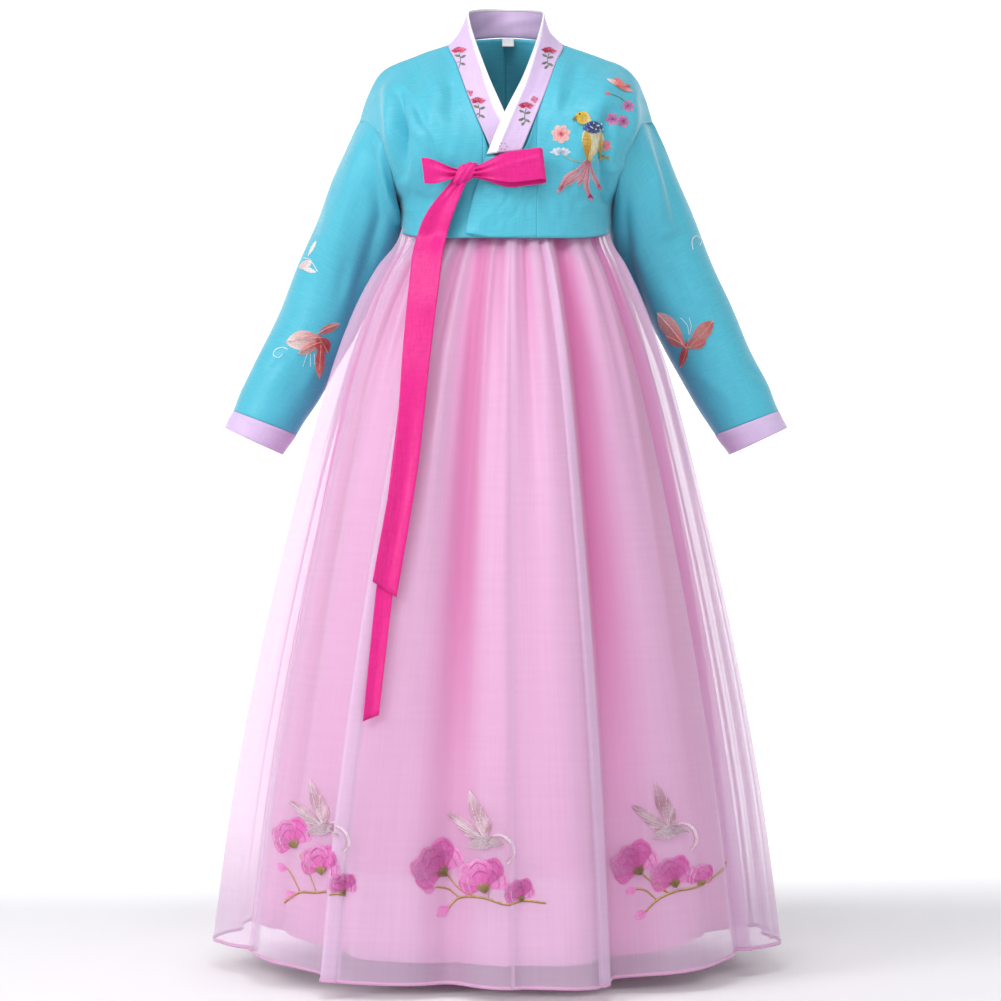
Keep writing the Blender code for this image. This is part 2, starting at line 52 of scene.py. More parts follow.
BAND_TOP, BAND_FOOT, BAND_HALF_WIDTH, BAND_HALF_DEPTH = -0.15, -0.2046, 0.125, 0.09
THREAD_PITCH = 0.0005


def fed(material, node, inputs):
    """Sets a node's inputs to values, or joins them to other nodes' outputs."""
    for name, value in inputs.items():
        if isinstance(value, bpy.types.NodeSocket):
            material.node_tree.links.new(value, node.inputs[name])
        else:
            node.inputs[name].default_value = value
    return node


def added(material, kind, inputs, **settings):
    """A new shading node."""
    node = material.node_tree.nodes.new("ShaderNode" + kind)
    for name, value in settings.items():
        setattr(node, name, value)
    return fed(material, node, inputs)


def woven(name, colour, pale, roughness, sheen, slub=(45, 850), bump=0.12, alpha=1.0):
    """A plain weave: fine threads both ways, with some thicker and paler stretches along them."""
    cloth = bpy.data.materials.new(name)
    cloth.use_nodes = True
    lie = added(cloth, "UVMap", {}, uv_map="grain").outputs["UV"]

    def streaks(across, along):
        stretched = added(cloth, "Mapping", {"Scale": (across, along, 1), "Vector": lie}).outputs["Vector"]
        return added(cloth, "TexNoise", {"Scale": 1.0, "Detail": 3.0, "Vector": stretched}).outputs["Fac"]

    def threads(direction):
        return added(cloth, "TexWave", {"Scale": math.pi / (10 * THREAD_PITCH), "Distortion": 0.4, "Vector": lie},
                     bands_direction=direction).outputs["Fac"]

    def worked(operation, first, second):
        return added(cloth, "Math", {0: first, 1: second}, operation=operation).outputs["Value"]

    uneven = worked("ADD", worked("MULTIPLY", streaks(*slub), 0.6),
                    worked("MULTIPLY", streaks(slub[1], slub[0] * 0.6), 0.4))
    spread = added(cloth, "MapRange", {"From Min": 0.38, "From Max": 0.62, "Value": uneven}).outputs["Result"]
    dye = added(cloth, "Mix", {}, data_type="RGBA")
    fed(cloth, dye, {"A": (*colour, 1), "B": (*pale, 1), "Factor": spread})
    shine = added(cloth, "MapRange", {"To Min": roughness + 0.08, "To Max": roughness - 0.06, "Value": spread})
    weave = worked("MULTIPLY", worked("ADD", threads("X"), threads("Y")), 0.3)
    relief = added(cloth, "Bump", {"Strength": bump, "Distance": 0.0006, "Height": worked("ADD", weave, uneven)})
    fed(cloth, cloth.node_tree.nodes["Principled BSDF"], {
        "Sheen Weight": sheen, "Sheen Roughness": 0.4, "Specular IOR Level": 0.35, "Alpha": alpha,
        "Base Color": dye.outputs["Result"], "Roughness": shine.outputs["Result"],
        "Normal": relief.outputs["Normal"]})
    return cloth


def shown(name, corners, faces, look):
    """A smooth mesh in the scene, in one material."""
    mesh = bpy.data.meshes.new(name)
    mesh.from_pydata(corners, [], faces)
    mesh.shade_smooth()
    mesh.materials.append(look)
    piece = bpy.data.objects.new(name, mesh)
    bpy.context.scene.collection.objects.link(piece)
    return piece


def laid(name, points, cloth, wall=0.001, outwards=1.0, tube=False, deep=None):
    """A piece of cloth through rows of points. The columns run to the right and the rows upwards when it
    is looked at from outside. Its grain runs up the columns. deep says how far in a fold each point is, for the painted
    fold shade."""
    rows, columns = points.shape[0] - 1, points.shape[1] - 1
    used = columns if tube else columns + 1
    width = np.linalg.norm(np.diff(points, axis=1), axis=2).sum(1).max()
    height = np.linalg.norm(np.diff(points, axis=0), axis=2).sum(0).mean()
    faces, grain = [], []
    for i in range(rows):
        for j in range(columns):
            k = (j + 1) % used
            faces.append((i * used + j, i * used + k, (i + 1) * used + k, (i + 1) * used + j))
            left, right = j / columns * width, (j + 1) / columns * width
            low, high = i / rows * height, (i + 1) / rows * height
            grain += [left, low, right, low, right, high, left, high]
    piece = shown(name, points[:, :used].reshape(-1, 3).tolist(), faces, cloth)
    piece.data.uv_layers.new(name="grain").data.foreach_set("uv", grain)
    if deep is not None:
        piece.data.attributes.new("fold", "FLOAT", "POINT").data.foreach_set("value", deep.ravel())
    if wall:
        thick = piece.modifiers.new("cloth thickness", "SOLIDIFY")
        thick.thickness, thick.offset = wall, outwards
    return piece


def worn(piece, slot, node=None, **cut):
    """Fixes a piece to the garment and hides the model's part that it stands for. The cut is not used."""
    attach(piece, "root")
    if node:
        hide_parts(node)


def grid(columns, rows):
    """The shares across and up of every point of a piece."""
    return np.meshgrid(np.linspace(0, 1, columns + 1), np.linspace(0, 1, rows + 1))


pink_cotton = woven("pink cotton lawn", (0.78, 0.23, 0.5), (0.86, 0.33, 0.6), 0.55, 0.2)
u, v = grid(96, 6)
band_turn = 2 * math.pi * u
waistband = laid("waistband_cotton", np.stack([
    BAND_HALF_WIDTH * np.sin(band_turn),
    -BAND_HALF_DEPTH * np.cos(band_turn),
    BAND_FOOT + (BAND_TOP - BAND_FOOT) * v], axis=-1), pink_cotton, 0.0012, tube=True)
worn(waistband, "lining_cloth", "waistband", flat=(0.682, 0.055), held="stretched", rests_on=["lining_front"])

# Lining -------------------------------------------------------------------------------------------
# Three lengths of pink cotton lawn under the organza, a little shorter and narrower than it, gathered into
# the waistband. A paler layer shows below the deep pink one across the front.

SkirtSection = namedtuple("SkirtSection", "z half_width half_depth middle_x middle_y gather opened")
LINING = [SkirtSection(*row) for row in (
    (-0.205, 0.1205, 0.0865, 0.0, 0.0, 0.0008, 0.0),
    (-0.26, 0.1225, 0.092, 0.0, -0.004, 0.0012, 0.02),
    (-0.365, 0.169, 0.148, -0.0035, -0.001, 0.0018, 0.12),
    (-0.48, 0.206, 0.188, -0.005, 0.002, 0.002, 0.22),
    (-0.82, 0.268, 0.25, -0.008, 0.012, 0.0012, 0.45),
    (-1.19, 0.318, 0.296, -0.01, 0.024, 0.0006, 0.65),
)]
HEM_LIFT = 0.019
GATHERS, FRONT_SEAM_DEG = 30, 3.0
# Folds that open from the gathers to the hem: degrees from the centre front towards the wearer's left.
Fold = namedtuple("Fold", "waist_deg hem_deg right_deg left_deg out")
FOLDS = [Fold(*row) for row in (
    (-29, -32, 3, 11, 0.034), (-13, -10, 5, 6, -0.03), (-1, 2, 8, 2, 0.01),
    (18, 17, 10, 4, 0.032), (28, 26, 3, 8, -0.03), (43, 43, 7, 7, 0.01),
    (58, 62, 4, 5, -0.022), (74, 78, 6, 7, 0.014), (92, 94, 6, 5, -0.012),
    (101, 101, 4, 4, 0.008), (111, 111, 4, 4, -0.014), (123, 123, 6, 6, 0.014),
    (137, 137, 5, 5, -0.016), (151, 150, 6, 6, 0.014), (165, 164, 5, 5, -0.016),
    (178, 178, 6, 6, 0.014), (-168, -168, 5, 5, -0.018), (-152, -151, 7, 6, 0.016),
    (-135, -135, 5, 5, -0.018), (-117, -117, 6, 7, 0.014), (-101, -101, 5, 5, -0.014),
    (-84, -84, 7, 6, 0.012), (-66, -66, 5, 5, -0.02), (-48, -50, 6, 5, 0.008),
)]


def smooth(share):
    """0 to 1 with a soft start and a soft end."""
    share = np.clip(share, 0.0, 1.0)
    return share * share * (3 - 2 * share)


def hermite(first, second, leave, arrive, t):
    """A place between two others on a curve that leaves and arrives at two speeds."""
    return (first * (2 * t**3 - 3 * t**2 + 1) + leave * (t**3 - 2 * t**2 + t)
            + second * (3 * t**2 - 2 * t**3) + arrive * (t**3 - t**2))


def row_of(table, down):
    """Each column of a table at a share of the way down it, rounded through its rows."""
    rows = np.array(table, float)
    reach = np.clip(down, 0, 1) * (len(rows) - 1)
    i = np.minimum(reach.astype(int), len(rows) - 2)
    slopes = np.gradient(rows, axis=0)
    t = (reach - i)[..., None]
    found = hermite(rows[i], rows[i + 1], slopes[i], slopes[i + 1], t)
    return type(table[0])(*np.moveaxis(found, -1, 0))


def fold_out(degrees, down):
    """How far the folds together stand out at an angle, at a share of the way to the hem."""
    out = np.zeros(np.broadcast(degrees, down).shape)
    for fold in FOLDS:
        away = (degrees - fold.waist_deg - (fold.hem_deg - fold.waist_deg) * down + 180) % 360 - 180
        out += fold.out * np.exp(-((away / np.where(away > 0, fold.left_deg, fold.right_deg)) ** 2))
    return out


def gathers(degrees, down):
    """The small folds at the waist: uneven, and wandering a little on their way down."""
    turn, seam_turn = np.radians(degrees), np.radians(degrees - FRONT_SEAM_DEG)
    uneven = 0.62 + 0.38 * np.sin(5 * turn + 1) * np.sin(9 * turn)
    small = np.cos(GATHERS * seam_turn + 1.4 * np.sin(3 * seam_turn)) * uneven
    small = small + 0.7 * np.sin(17 * turn + 1.7 * np.sin(3 * turn) + down)
    small = small + 0.35 * np.sin(47 * turn + 2.1 * np.sin(4 * turn) + 2 * down)
    return small + 0.22 * np.sin(83 * turn + 3.0 * np.sin(5 * turn)) * (0.6 + 0.4 * np.sin(7 * turn + 5 * down))


def skirt_surface(table, degrees, down, proud=0.0):
    """Points of a skirt at angles from the centre front towards the wearer's left."""
    row, turn = row_of(table, down), np.radians(degrees)
    out = row.opened * fold_out(degrees, down) + row.gather * gathers(degrees, down) + proud
    lift = HEM_LIFT * down**6 * smooth((1.05 - np.abs(np.cos(turn))) / 0.55)
    return np.stack([row.middle_x + (row.half_width + out) * np.sin(turn),
                     row.middle_y - (row.half_depth + out) * np.cos(turn), row.z + lift], axis=-1)


def fold_shade_depth(degrees, down):
    """How deep in the folds a place lies, 0 on the crests and 1 in the deepest: how much painted shade darkens
    the cloth's colour there, in the fold valleys and between the small gathers near the waist."""
    valley = np.clip(-fold_out(degrees, down) / 0.028, 0, 1) * smooth(down / 0.12)
    fine = np.clip(0.35 - gathers(degrees, down), 0, 1.6) / 1.6 * (1 - smooth((down - 0.1) / 0.55))
    return np.clip(valley * (1 - 0.8 * smooth((down - 0.66) / 0.26)) + 0.75 * fine, 0, 1)


def overlaid(cloth, colour, share):
    """Passes the cloth's colour over to another one by a share."""
    shader = cloth.node_tree.nodes["Principled BSDF"]
    mix = added(cloth, "Mix", {}, data_type="RGBA")
    fed(cloth, mix, {"A": shader.inputs["Base Color"].links[0].from_socket, "B": (*colour, 1), "Factor": share})
    fed(cloth, shader, {"Base Color": mix.outputs["Result"]})


def painted_fold_shade(cloth, deep):
    """Paints shade into the cloth's folds: its colour goes over to a deeper one where they lie deep."""
    overlaid(cloth, deep, added(cloth, "Attribute", {}, attribute_name="fold").outputs["Fac"])


def paler_below(cloth, pale, foot, left, right):
    """Colours the cloth paler below a level line across the front, where a shorter layer over it ends."""
    place = added(cloth, "SeparateXYZ", {"Vector": added(cloth, "TexCoord", {}).outputs["Object"]}).outputs
    share = None
    for axis, start, end in (("X", right + 0.01, right), ("X", left - 0.01, left), ("Y", 0.02, 0.0),
                             ("Z", foot + 0.0012, foot)):
        edge = added(cloth, "MapRange", {"From Min": start, "From Max": end, "Value": place[axis]}).outputs["Result"]
        if share:
            edge = added(cloth, "Math", {0: share, 1: edge}, operation="MULTIPLY").outputs["Value"]
        share = edge
    overlaid(cloth, pale, share)


lawn = woven("pink lining lawn", (0.865, 0.322, 0.615), (0.885, 0.338, 0.632), 0.55, 0.2, slub=(300, 60), bump=0.01)
paler_below(lawn, (0.93, 0.47, 0.74), -1.08, -0.195, 0.11)
# Painted shade: the lining's colour darkens towards a deep pink in its fold valleys and gathers.
painted_fold_shade(lawn, (0.7, 0.085, 0.33))
for side, first_deg, last_deg, columns in (("front", -57.0, 74.0, 150), ("left", 74.0, 183.0, 120),
                                           ("right", 183.0, 303.0, 130)):
    u, v = grid(columns, 50)
    degrees, down = first_deg + (last_deg - first_deg) * u, 1 - v
    lining = laid(f"lining_{side}_lawn", skirt_surface(LINING, degrees, down), lawn, deep=fold_shade_depth(degrees, down))
    worn(lining, "lining_cloth", f"lining_{side}", flat=((last_deg - first_deg) / 360 * 1.92, 1.0),
         held="gathered", rests_on=["waistband_cotton"])

# Skirt --------------------------------------------------------------------------------------------
# Three lengths of crisp sheer organza, seamed with narrow double seams, pleated into the waistband. The
# pleats open downwards, and where one laps over the next the cloth lies three layers deep.

SKIRT = [SkirtSection(*row) for row in (
    (-0.205, 0.127, 0.093, 0.0, 0.0, 0.0018, 0.0),
    (-0.261, 0.1395, 0.102, 0.0005, -0.004, 0.003, 0.06),
    (-0.302, 0.163, 0.133, -0.0015, -0.003, 0.0054, 0.16),
    (-0.365, 0.191, 0.168, -0.0035, -0.001, 0.006, 0.3),
    (-0.46, 0.224, 0.205, -0.005, 0.003, 0.0044, 0.46),
    (-0.62, 0.266, 0.25, -0.0075, 0.008, 0.002, 0.64),
    (-0.82, 0.3105, 0.292, -0.0095, 0.014, 0.0008, 0.8),
    (-1.02, 0.3455, 0.32, -0.011, 0.02, 0.0003, 0.92),
    (-1.2136, 0.369, 0.335, -0.0115, 0.026, 0.0002, 1.0),
)]
# Lapped pleats: where the edge runs at the waist and the hem, how far the cloth turns back under it, how
# thick the lap is at the hem, and whether the edge points to the wearer's left (1) or right (-1).
Pleat = namedtuple("Pleat", "waist_deg hem_deg under_deg lap way")
PLEATS = [Pleat(*row) for row in (
    (-29, -33, 3.2, 0.007, -1), (21, 22, 2.8, 0.0075, 1), (60, 66, 2.8, 0.006, 1),
    (-62, -66, 2.8, 0.006, -1), (86, 88, 2.4, 0.004, 1), (109, 108, 3.0, 0.006, 1),
    (139, 140, 2.8, 0.006, 1), (166, 166, 3.2, 0.006, 1), (191, 190, 2.8, 0.006, -1),
    (222, 222, 3.0, 0.0065, -1), (256, 257, 3.0, 0.006, -1), (276, 276, 2.4, 0.004, -1),
)]
LAP_COLUMNS = 30


def pleated(first_deg, last_deg, per_degree):
    """Columns of one length of cloth in order: each one's angle at the waist and at the hem, and how far
    it lies in front of or behind the pleat's middle layer."""
    waist, hem, lap = [first_deg], [first_deg], [0.0]

    def on_to(waist_deg, hem_deg):
        steps = max(2, round((waist_deg - waist[-1]) * per_degree))
        start = waist[-1], hem[-1]
        for k in range(1, steps + 1):
            waist.append(start[0] + (waist_deg - start[0]) * k / steps)
            hem.append(start[1] + (hem_deg - start[1]) * k / steps)
            lap.append(0.0)

    for pleat in sorted(PLEATS):
        turn = 360 if pleat.waist_deg < first_deg - 1 else 0
        edge_waist, edge_hem = pleat.waist_deg + turn, pleat.hem_deg + turn
        if not first_deg + 6 < edge_waist < last_deg - 6:
            continue
        before = pleat.under_deg if pleat.way > 0 else 0.0
        on_to(edge_waist - before, edge_hem - before)
        for k in range(1, LAP_COLUMNS + 1):
            q = 3 * k / LAP_COLUMNS if pleat.way > 0 else 3 - 3 * k / LAP_COLUMNS
            swing = pleat.way * pleat.under_deg * (0.5 + 0.5 * math.cos(math.pi * q))
            waist.append(edge_waist - swing)
            hem.append(edge_hem - swing)
            lap.append(pleat.lap * math.sin(2 * math.pi * q / 3))
    on_to(last_deg, last_deg)
    return np.array(waist), np.array(hem), np.array(lap)


organza = woven("sheer organza", (0.81, 0.58, 0.8), (0.84, 0.62, 0.83), 0.42, 0.25, slub=(420, 10), bump=0.01,
                alpha=0.5)
# Painted shade: the organza's colour deepens towards a stronger pink in its fold valleys and gathers.
painted_fold_shade(organza, (0.76, 0.3, 0.58))
organza_doubled = woven("organza turned double", (0.78, 0.4, 0.66), (0.82, 0.48, 0.72), 0.45, 0.25, bump=0.05,
                        alpha=0.75)
SKIRT_LENGTHS = (("right", -117.0, FRONT_SEAM_DEG), ("left", FRONT_SEAM_DEG, 123.0), ("back", 123.0, 243.0))
skirt_lengths, skirt_edges = {}, {}
down = np.linspace(1, 0, 73)[:, None]
for side, first_deg, last_deg in SKIRT_LENGTHS:
    waist, hem, lap = pleated(first_deg, last_deg, 1.6)
    degrees = waist + (hem - waist) * down
    points = skirt_surface(SKIRT, degrees, down, proud=lap * (0.15 + 0.85 * row_of(SKIRT, down).opened))
    skirt_lengths[side] = laid(f"skirt_{side}_organza", points, organza, wall=0,
                               deep=fold_shade_depth(degrees, down + 0 * degrees))

    # The narrow rolled hem, turned up and stitched, so it is double and shows as a deeper line.
    hem_roll = laid(f"skirt_{side}_hem", np.stack([points[0], points[0] + (0, 0, 0.0045)]), organza_doubled,
                    0.0008, 0.0)

    # The seam up to the next length, three layers of organza in a narrow strip.
    seam_deg = np.broadcast_to([first_deg - 0.35, first_deg, first_deg + 0.35], (73, 3))
    seam = laid(f"skirt_{side}_seam", skirt_surface(SKIRT, seam_deg, np.broadcast_to(down, (73, 3)), proud=0.0006),
                organza, wall=0, deep=np.zeros((73, 3)))
    worn(skirt_lengths[side], "organza", f"skirt_{side}")
    worn(hem_roll, "organza")
    worn(seam, "organza")
    skirt_edges[side] = [hem_roll, seam]

# Embroidery on the skirt --------------------------------------------------------------------------
# Three sprays of pink magnolia, each with a white bird over it, worked by machine in rayon thread on the
# organza above the hem. Petals are rows of satin stitch, and branches are stem stitch. All embroidery is
# given in millimetres, across and up in the front view.

ROW_PITCH, LONGEST_STITCH, STEM_STITCH, STEPS = 0.9, 6.5, 2.8, 24
stitches = []


def unevenly(seed):
    return np.random.default_rng(1000 + seed)


def both_ways(turn_deg):
    """The directions along and across a line that lies at an angle."""
    turn = math.radians(turn_deg)
    return np.array([math.cos(turn), math.sin(turn)]), np.array([-math.sin(turn), math.cos(turn)])


def reached(base, length, turn_deg, rise=1.0):
    """The place a length away from another, at an angle."""
    turn = math.radians(turn_deg)
    return base[0] + length * math.cos(turn), base[1] + length * rise * math.sin(turn)


def satin(outline, lie_deg, colours, seed, raised=0.0):
    """Fills an outline with rows of thread that lie at an angle, its colour passing along them."""
    outline = np.array(outline, float)
    along, across = both_ways(lie_deg)
    reach, level = outline @ along, outline @ across
    chance = unevenly(seed)
    near, far = reach.min(), reach.max()
    for row in np.arange(level.min() + ROW_PITCH / 2, level.max(), ROW_PITCH):
        cuts = []
        for k in range(len(outline)):
            a, b = level[k - 1], level[k]
            if (a <= row) != (b <= row):
                cuts.append(reach[k - 1] + (reach[k] - reach[k - 1]) * (row - a) / (b - a))
        cuts.sort()
        for start, end in zip(cuts[::2], cuts[1::2]):
            start, end = start - 0.6 * chance.random(), end + 0.6 * chance.random()
            count = max(1, math.ceil((end - start) / LONGEST_STITCH + 0.5 * chance.random()))
            shift = np.r_[0, chance.uniform(-0.2, 0.2, count - 1), 0]
            marks = start + (end - start) * (np.arange(count + 1) + shift) / count
            for here, there in zip(marks, marks[1:]):
                share = ((here + there) / 2 - near) / max(1e-3, far - near) + chance.uniform(-0.12, 0.12)
                shade = np.array([np.interp(share, np.linspace(0, 1, len(colours)), band) for band in zip(*colours)])
                stitches.append((along * here + across * row, along * there + across * row,
                                 shade * chance.uniform(0.86, 1.1), ROW_PITCH * 0.92, raised))


def curve_2d(points, share):
    """A place on a smooth line through the points."""
    reach = share * (len(points) - 1)
    i = min(int(reach), len(points) - 2)
    t = reach - i
    before, after = points[max(i - 1, 0)], points[min(i + 2, len(points) - 1)]
    a, b = points[i], points[i + 1]
    return 0.5 * (2 * a + (b - before) * t + (2 * before - 5 * a + 4 * b - after) * t**2
                  + (3 * a - before - 3 * b + after) * t**3)


def stem(points, colour, seed, width=1.1, raised=0.2):
    """A line of short slanting stitches through the points."""
    chance = unevenly(seed)
    points = np.array(points, float)
    fine = np.array([curve_2d(points, k / 40) for k in range(41)])
    count = max(2, round(np.linalg.norm(np.diff(fine, axis=0), axis=1).sum() / STEM_STITCH))
    marks = [curve_2d(points, k / count) for k in range(count + 1)]
    for here, there in zip(marks, marks[1:]):
        stitches.append((here - (there - here) * 0.15, there + (there - here) * 0.1,
                         np.array(colour) * chance.uniform(0.82, 1.12), width, raised))


def petal(base, length, width, turn_deg, colours, seed, fullest=0.5, raised=0.0, slant=0):
    """A petal, leaf, wing or feather from its base, pointing at an angle and filled along its length."""
    along, across = both_ways(turn_deg)
    power = math.log(0.5) / math.log(fullest)
    edge = [(k / STEPS, math.sin(math.pi * (k / STEPS) ** power) ** 0.8 if 0 < k < STEPS else 0.0)
            for k in range(STEPS + 1)]
    edge += [(share, -half) for share, half in reversed(edge[1:-1])]
    satin([np.array(base) + along * length * share + across * width / 2 * half for share, half in edge],
          turn_deg + slant, colours, seed, raised)


def leaf(base, tip, width, colours, seed, fullest=0.55, raised=0.0):
    """A petal between two points."""
    way = math.degrees(math.atan2(tip[1] - base[1], tip[0] - base[0]))
    petal(base, math.dist(base, tip), width, way, colours, seed, fullest, raised)


def blossom(x, z, size, turn_deg, petals, colours, seed, narrow=0.75, heart=None):
    """An open flower: petals round a middle, each filled along its own length."""
    for k in range(petals):
        petal((x, z), size, size * narrow, turn_deg + 360 * k / petals, colours, seed + k, 0.66)
    if heart:
        petal((x - size * 0.18, z), size * 0.36, size * 0.36, 0, (heart, heart), seed + 40, 0.5, 0.4, 90)


def feather(points, width, colours, seed):
    """A long bending feather, widest past its middle."""
    points = np.array(points, float)
    middle = np.array([curve_2d(points, k / STEPS) for k in range(STEPS + 1)])
    ways = np.gradient(middle, axis=0)
    ways /= np.linalg.norm(ways, axis=1, keepdims=True)
    half = width / 2 * (0.25 + 0.75 * np.sin(math.pi * np.linspace(0, 0.93, STEPS + 1) ** 1.3))[:, None]
    sides = np.stack([-ways[:, 1], ways[:, 0]], axis=1) * half
    right, up = points[-1] - points[0]
    satin(np.concatenate([middle + sides, (middle - sides)[::-1]]), math.degrees(math.atan2(up, right)), colours, seed)


ROSE, PALE_ROSE, DEEP_ROSE = (0.86, 0.2, 0.58), (0.92, 0.38, 0.72), (0.78, 0.15, 0.5)
OLIVE, BROWN, GOLDEN = (0.34, 0.25, 0.1), (0.36, 0.18, 0.08), (0.56, 0.34, 0.15)
SILVER, SMOKE, BRIGHT = (0.84, 0.62, 0.72), (0.58, 0.33, 0.42), (0.94, 0.84, 0.89)
PALE_EDGE, DARK_EDGE, BEAK, BUD = (0.9, 0.48, 0.78), (0.6, 0.11, 0.42), (0.5, 0.34, 0.2), (ROSE, PALE_ROSE)


def magnolia(x, z, size, turn_deg, seed):
    """A cupped blossom seen from the side: five broad petals that overlap, and a calyx at its foot."""
    for k, (lean, length, width, colours) in enumerate((
            (-68, 0.78, 0.62, BUD), (66, 0.8, 0.62, (DEEP_ROSE, ROSE)), (-34, 0.98, 0.66, (DEEP_ROSE, ROSE, ROSE)),
            (36, 0.96, 0.66, BUD), (2, 0.9, 0.74, (DEEP_ROSE, ROSE, PALE_ROSE)))):
        way = turn_deg + lean
        petal((x, z), size * length, size * width, way, colours, seed + k, 0.66, 0.3 * k, 8)
        for reach in (0.55, 0.8):
            bend, out = 24 / reach * 0.7, size * length * reach
            arc = [reached((x, z), out * share, way + turn) for turn, share in ((-bend, 0.95), (0, 1.1), (bend, 0.95))]
            stem(arc, PALE_EDGE if k % 2 else DARK_EDGE, seed + 20 + k, 0.6, 0.3 * k + 0.4)
    base = reached((x, z), -5, turn_deg)
    for lean in (-30, 4, 34):
        leaf(base, reached(base, size * 0.32, turn_deg + lean), size * 0.13, (BROWN, OLIVE, GOLDEN),
             seed + 70 + lean, raised=2.0)


def silver_bird(x, z, size, seed):
    """A small bird coming down with its wings up, its tail in one long curl."""
    def at(*places):
        return [(x + right * size, z + up * size) for right, up in places]

    for k, (base, tip, width) in enumerate((
            ((0.08, -0.46), (-0.36, -0.42), 0.2), ((0.08, -0.44), (-0.54, -0.22), 0.24),
            ((0.08, -0.42), (-0.68, -0.04), 0.24), ((0.08, -0.4), (-0.84, 0.14), 0.25),
            ((0.16, -0.44), (0.26, 0.08), 0.24), ((0.14, -0.42), (0.08, 0.36), 0.27),
            ((0.12, -0.4), (-0.22, 0.74), 0.3))):
        colours = (SMOKE, SILVER, SMOKE) if k % 2 else (SILVER, SMOKE, SILVER)
        leaf(*at(base, tip), width * size, colours, seed + k, raised=0.2 * k)
        middle = ((base[0] + tip[0]) / 2 - 0.05, (base[1] + tip[1]) / 2)
        stem(at(base, middle, tip), BRIGHT, seed + 20 + k, 0.7, 1.2)
    leaf(*at((-0.32, -0.7), (0.5, -0.44)), size * 0.34, (SILVER, BRIGHT, SMOKE), seed + 30, raised=1.4)
    leaf(*at((0.3, -0.52), (0.62, -0.56)), size * 0.21, (BRIGHT, SILVER), seed + 31, 0.4, 1.8)
    stem(at((0.57, -0.55), (0.66, -0.6)), BEAK, seed + 32, 0.9, 2.0)
    feather(at((0.2, -0.46), (0.52, -0.34), (0.82, -0.52), (0.9, -0.84), (0.74, -1.08)), size * 0.075,
            (SILVER, BRIGHT, SILVER), seed + 33)
    stem(at((0.2, -0.5), (0.55, -0.4), (0.8, -0.6), (0.84, -0.86), (0.7, -1.02)), SMOKE, seed + 34, 0.7)


def branch(points, seed, width=1.9):
    """Two rows of stem stitch, light over dark."""
    for k, (rise, colour, raised) in enumerate(((0.8, GOLDEN, 0.4), (-0.8, BROWN, 0.0))):
        stem([(across, up + rise) for across, up in points], colour, seed + k, width, raised)


def worked_on(name, grounds, slot):
    """Turns the stitches gathered so far into raised threads lying on the cloth in front."""
    graph = bpy.context.evaluated_depsgraph_get()
    trees = [BVHTree.FromObject(ground, graph) for ground in grounds]

    def touch(x, z):
        hits = [tree.ray_cast(Vector((x, -2, z)), Vector((0, 1, 0))) for tree in trees]
        return min((hit for hit in hits if hit[0] is not None), key=lambda hit: hit[0].y, default=(None, None))[:2]

    corners, faces, colours = [], [], []
    for stitch in stitches:
        start, end, width, raised = (stitch[k] / 1000 for k in (0, 1, 3, 4))
        length = float(np.linalg.norm(end - start))
        if length < 1e-5:
            continue
        side = np.array([-(end - start)[1], (end - start)[0]]) / length * width / 2
        steps = max(2, math.ceil(length / 0.0025))
        rails = []
        for k in range(steps + 1):
            share = k / steps
            place, normal = touch(*(start + (end - start) * share))
            if place is None or (rails and abs(place.y - rails[-1].y) > 0.009):
                rails = []
                break
            if normal.y > 0:
                normal = -normal
            lean_x, lean_z = (-normal.x / normal.y, -normal.z / normal.y) if abs(normal.y) > 0.2 else (0.0, 0.0)
            body = 0.0003 + raised + 0.00035 * math.sin(math.pi * (0.12 + 0.76 * share))
            thin = 0.55 + 0.45 * math.sin(math.pi * (0.1 + 0.8 * share))
            for away, rise in ((-1, 0.2), (0, 1), (1, 0.2)):
                dx, dz = side * away * thin
                on_cloth = Vector((place.x + dx, place.y + lean_x * dx + lean_z * dz, place.z + dz))
                rails.append(on_cloth + normal * (body * rise + raised + 0.0001))
        for k in range(steps) if rails else ():
            base = len(corners) + 3 * k
            faces += [(base + rail, base + rail + 1, base + rail + 4, base + rail + 3) for rail in (0, 1)]
        corners += rails
        colours += [*np.clip(stitch[2], 0, 1), 1.0] * len(rails)
    stitches.clear()
    piece = shown(name, corners, faces, rayon)
    piece.data.color_attributes.new("thread", "FLOAT_COLOR", "POINT").data.foreach_set("color", colours)
    worn(piece, slot)
    return piece


rayon = bpy.data.materials.new("rayon thread")
rayon.use_nodes = True
place = added(rayon, "TexCoord", {}).outputs["Object"]
twist = added(rayon, "TexNoise", {"Scale": 900.0, "Vector": place}).outputs["Fac"]
fed(rayon, rayon.node_tree.nodes["Principled BSDF"], {
    "Sheen Weight": 0.15, "Base Color": added(rayon, "VertexColor", {}, layer_name="thread").outputs["Color"],
    "Roughness": added(rayon, "MapRange", {"To Min": 0.3, "To Max": 0.5, "Value": twist}).outputs["Result"]})

# The spray at the wearer's right, cut short by the lapped pleat beside it.
branch([(-282, -1120), (-262, -1106), (-238, -1104), (-214, -1098), (-200, -1100)], 11)
branch([(-262, -1104), (-272, -1085), (-279, -1076)], 12, 1.4)
branch([(-240, -1104), (-250, -1080), (-262, -1058)], 13, 1.4)
magnolia(-268, -1046, 36, 118, 20)
magnolia(-232, -1076, 36, 100, 120)
magnolia(-203, -1094, 24, 92, 220)
petal((-279, -1078), 15, 11, 170, BUD, 31)
petal((-268, -1106), 15, 11, 215, BUD, 32)
silver_bird(-238, -998, 46, 40)

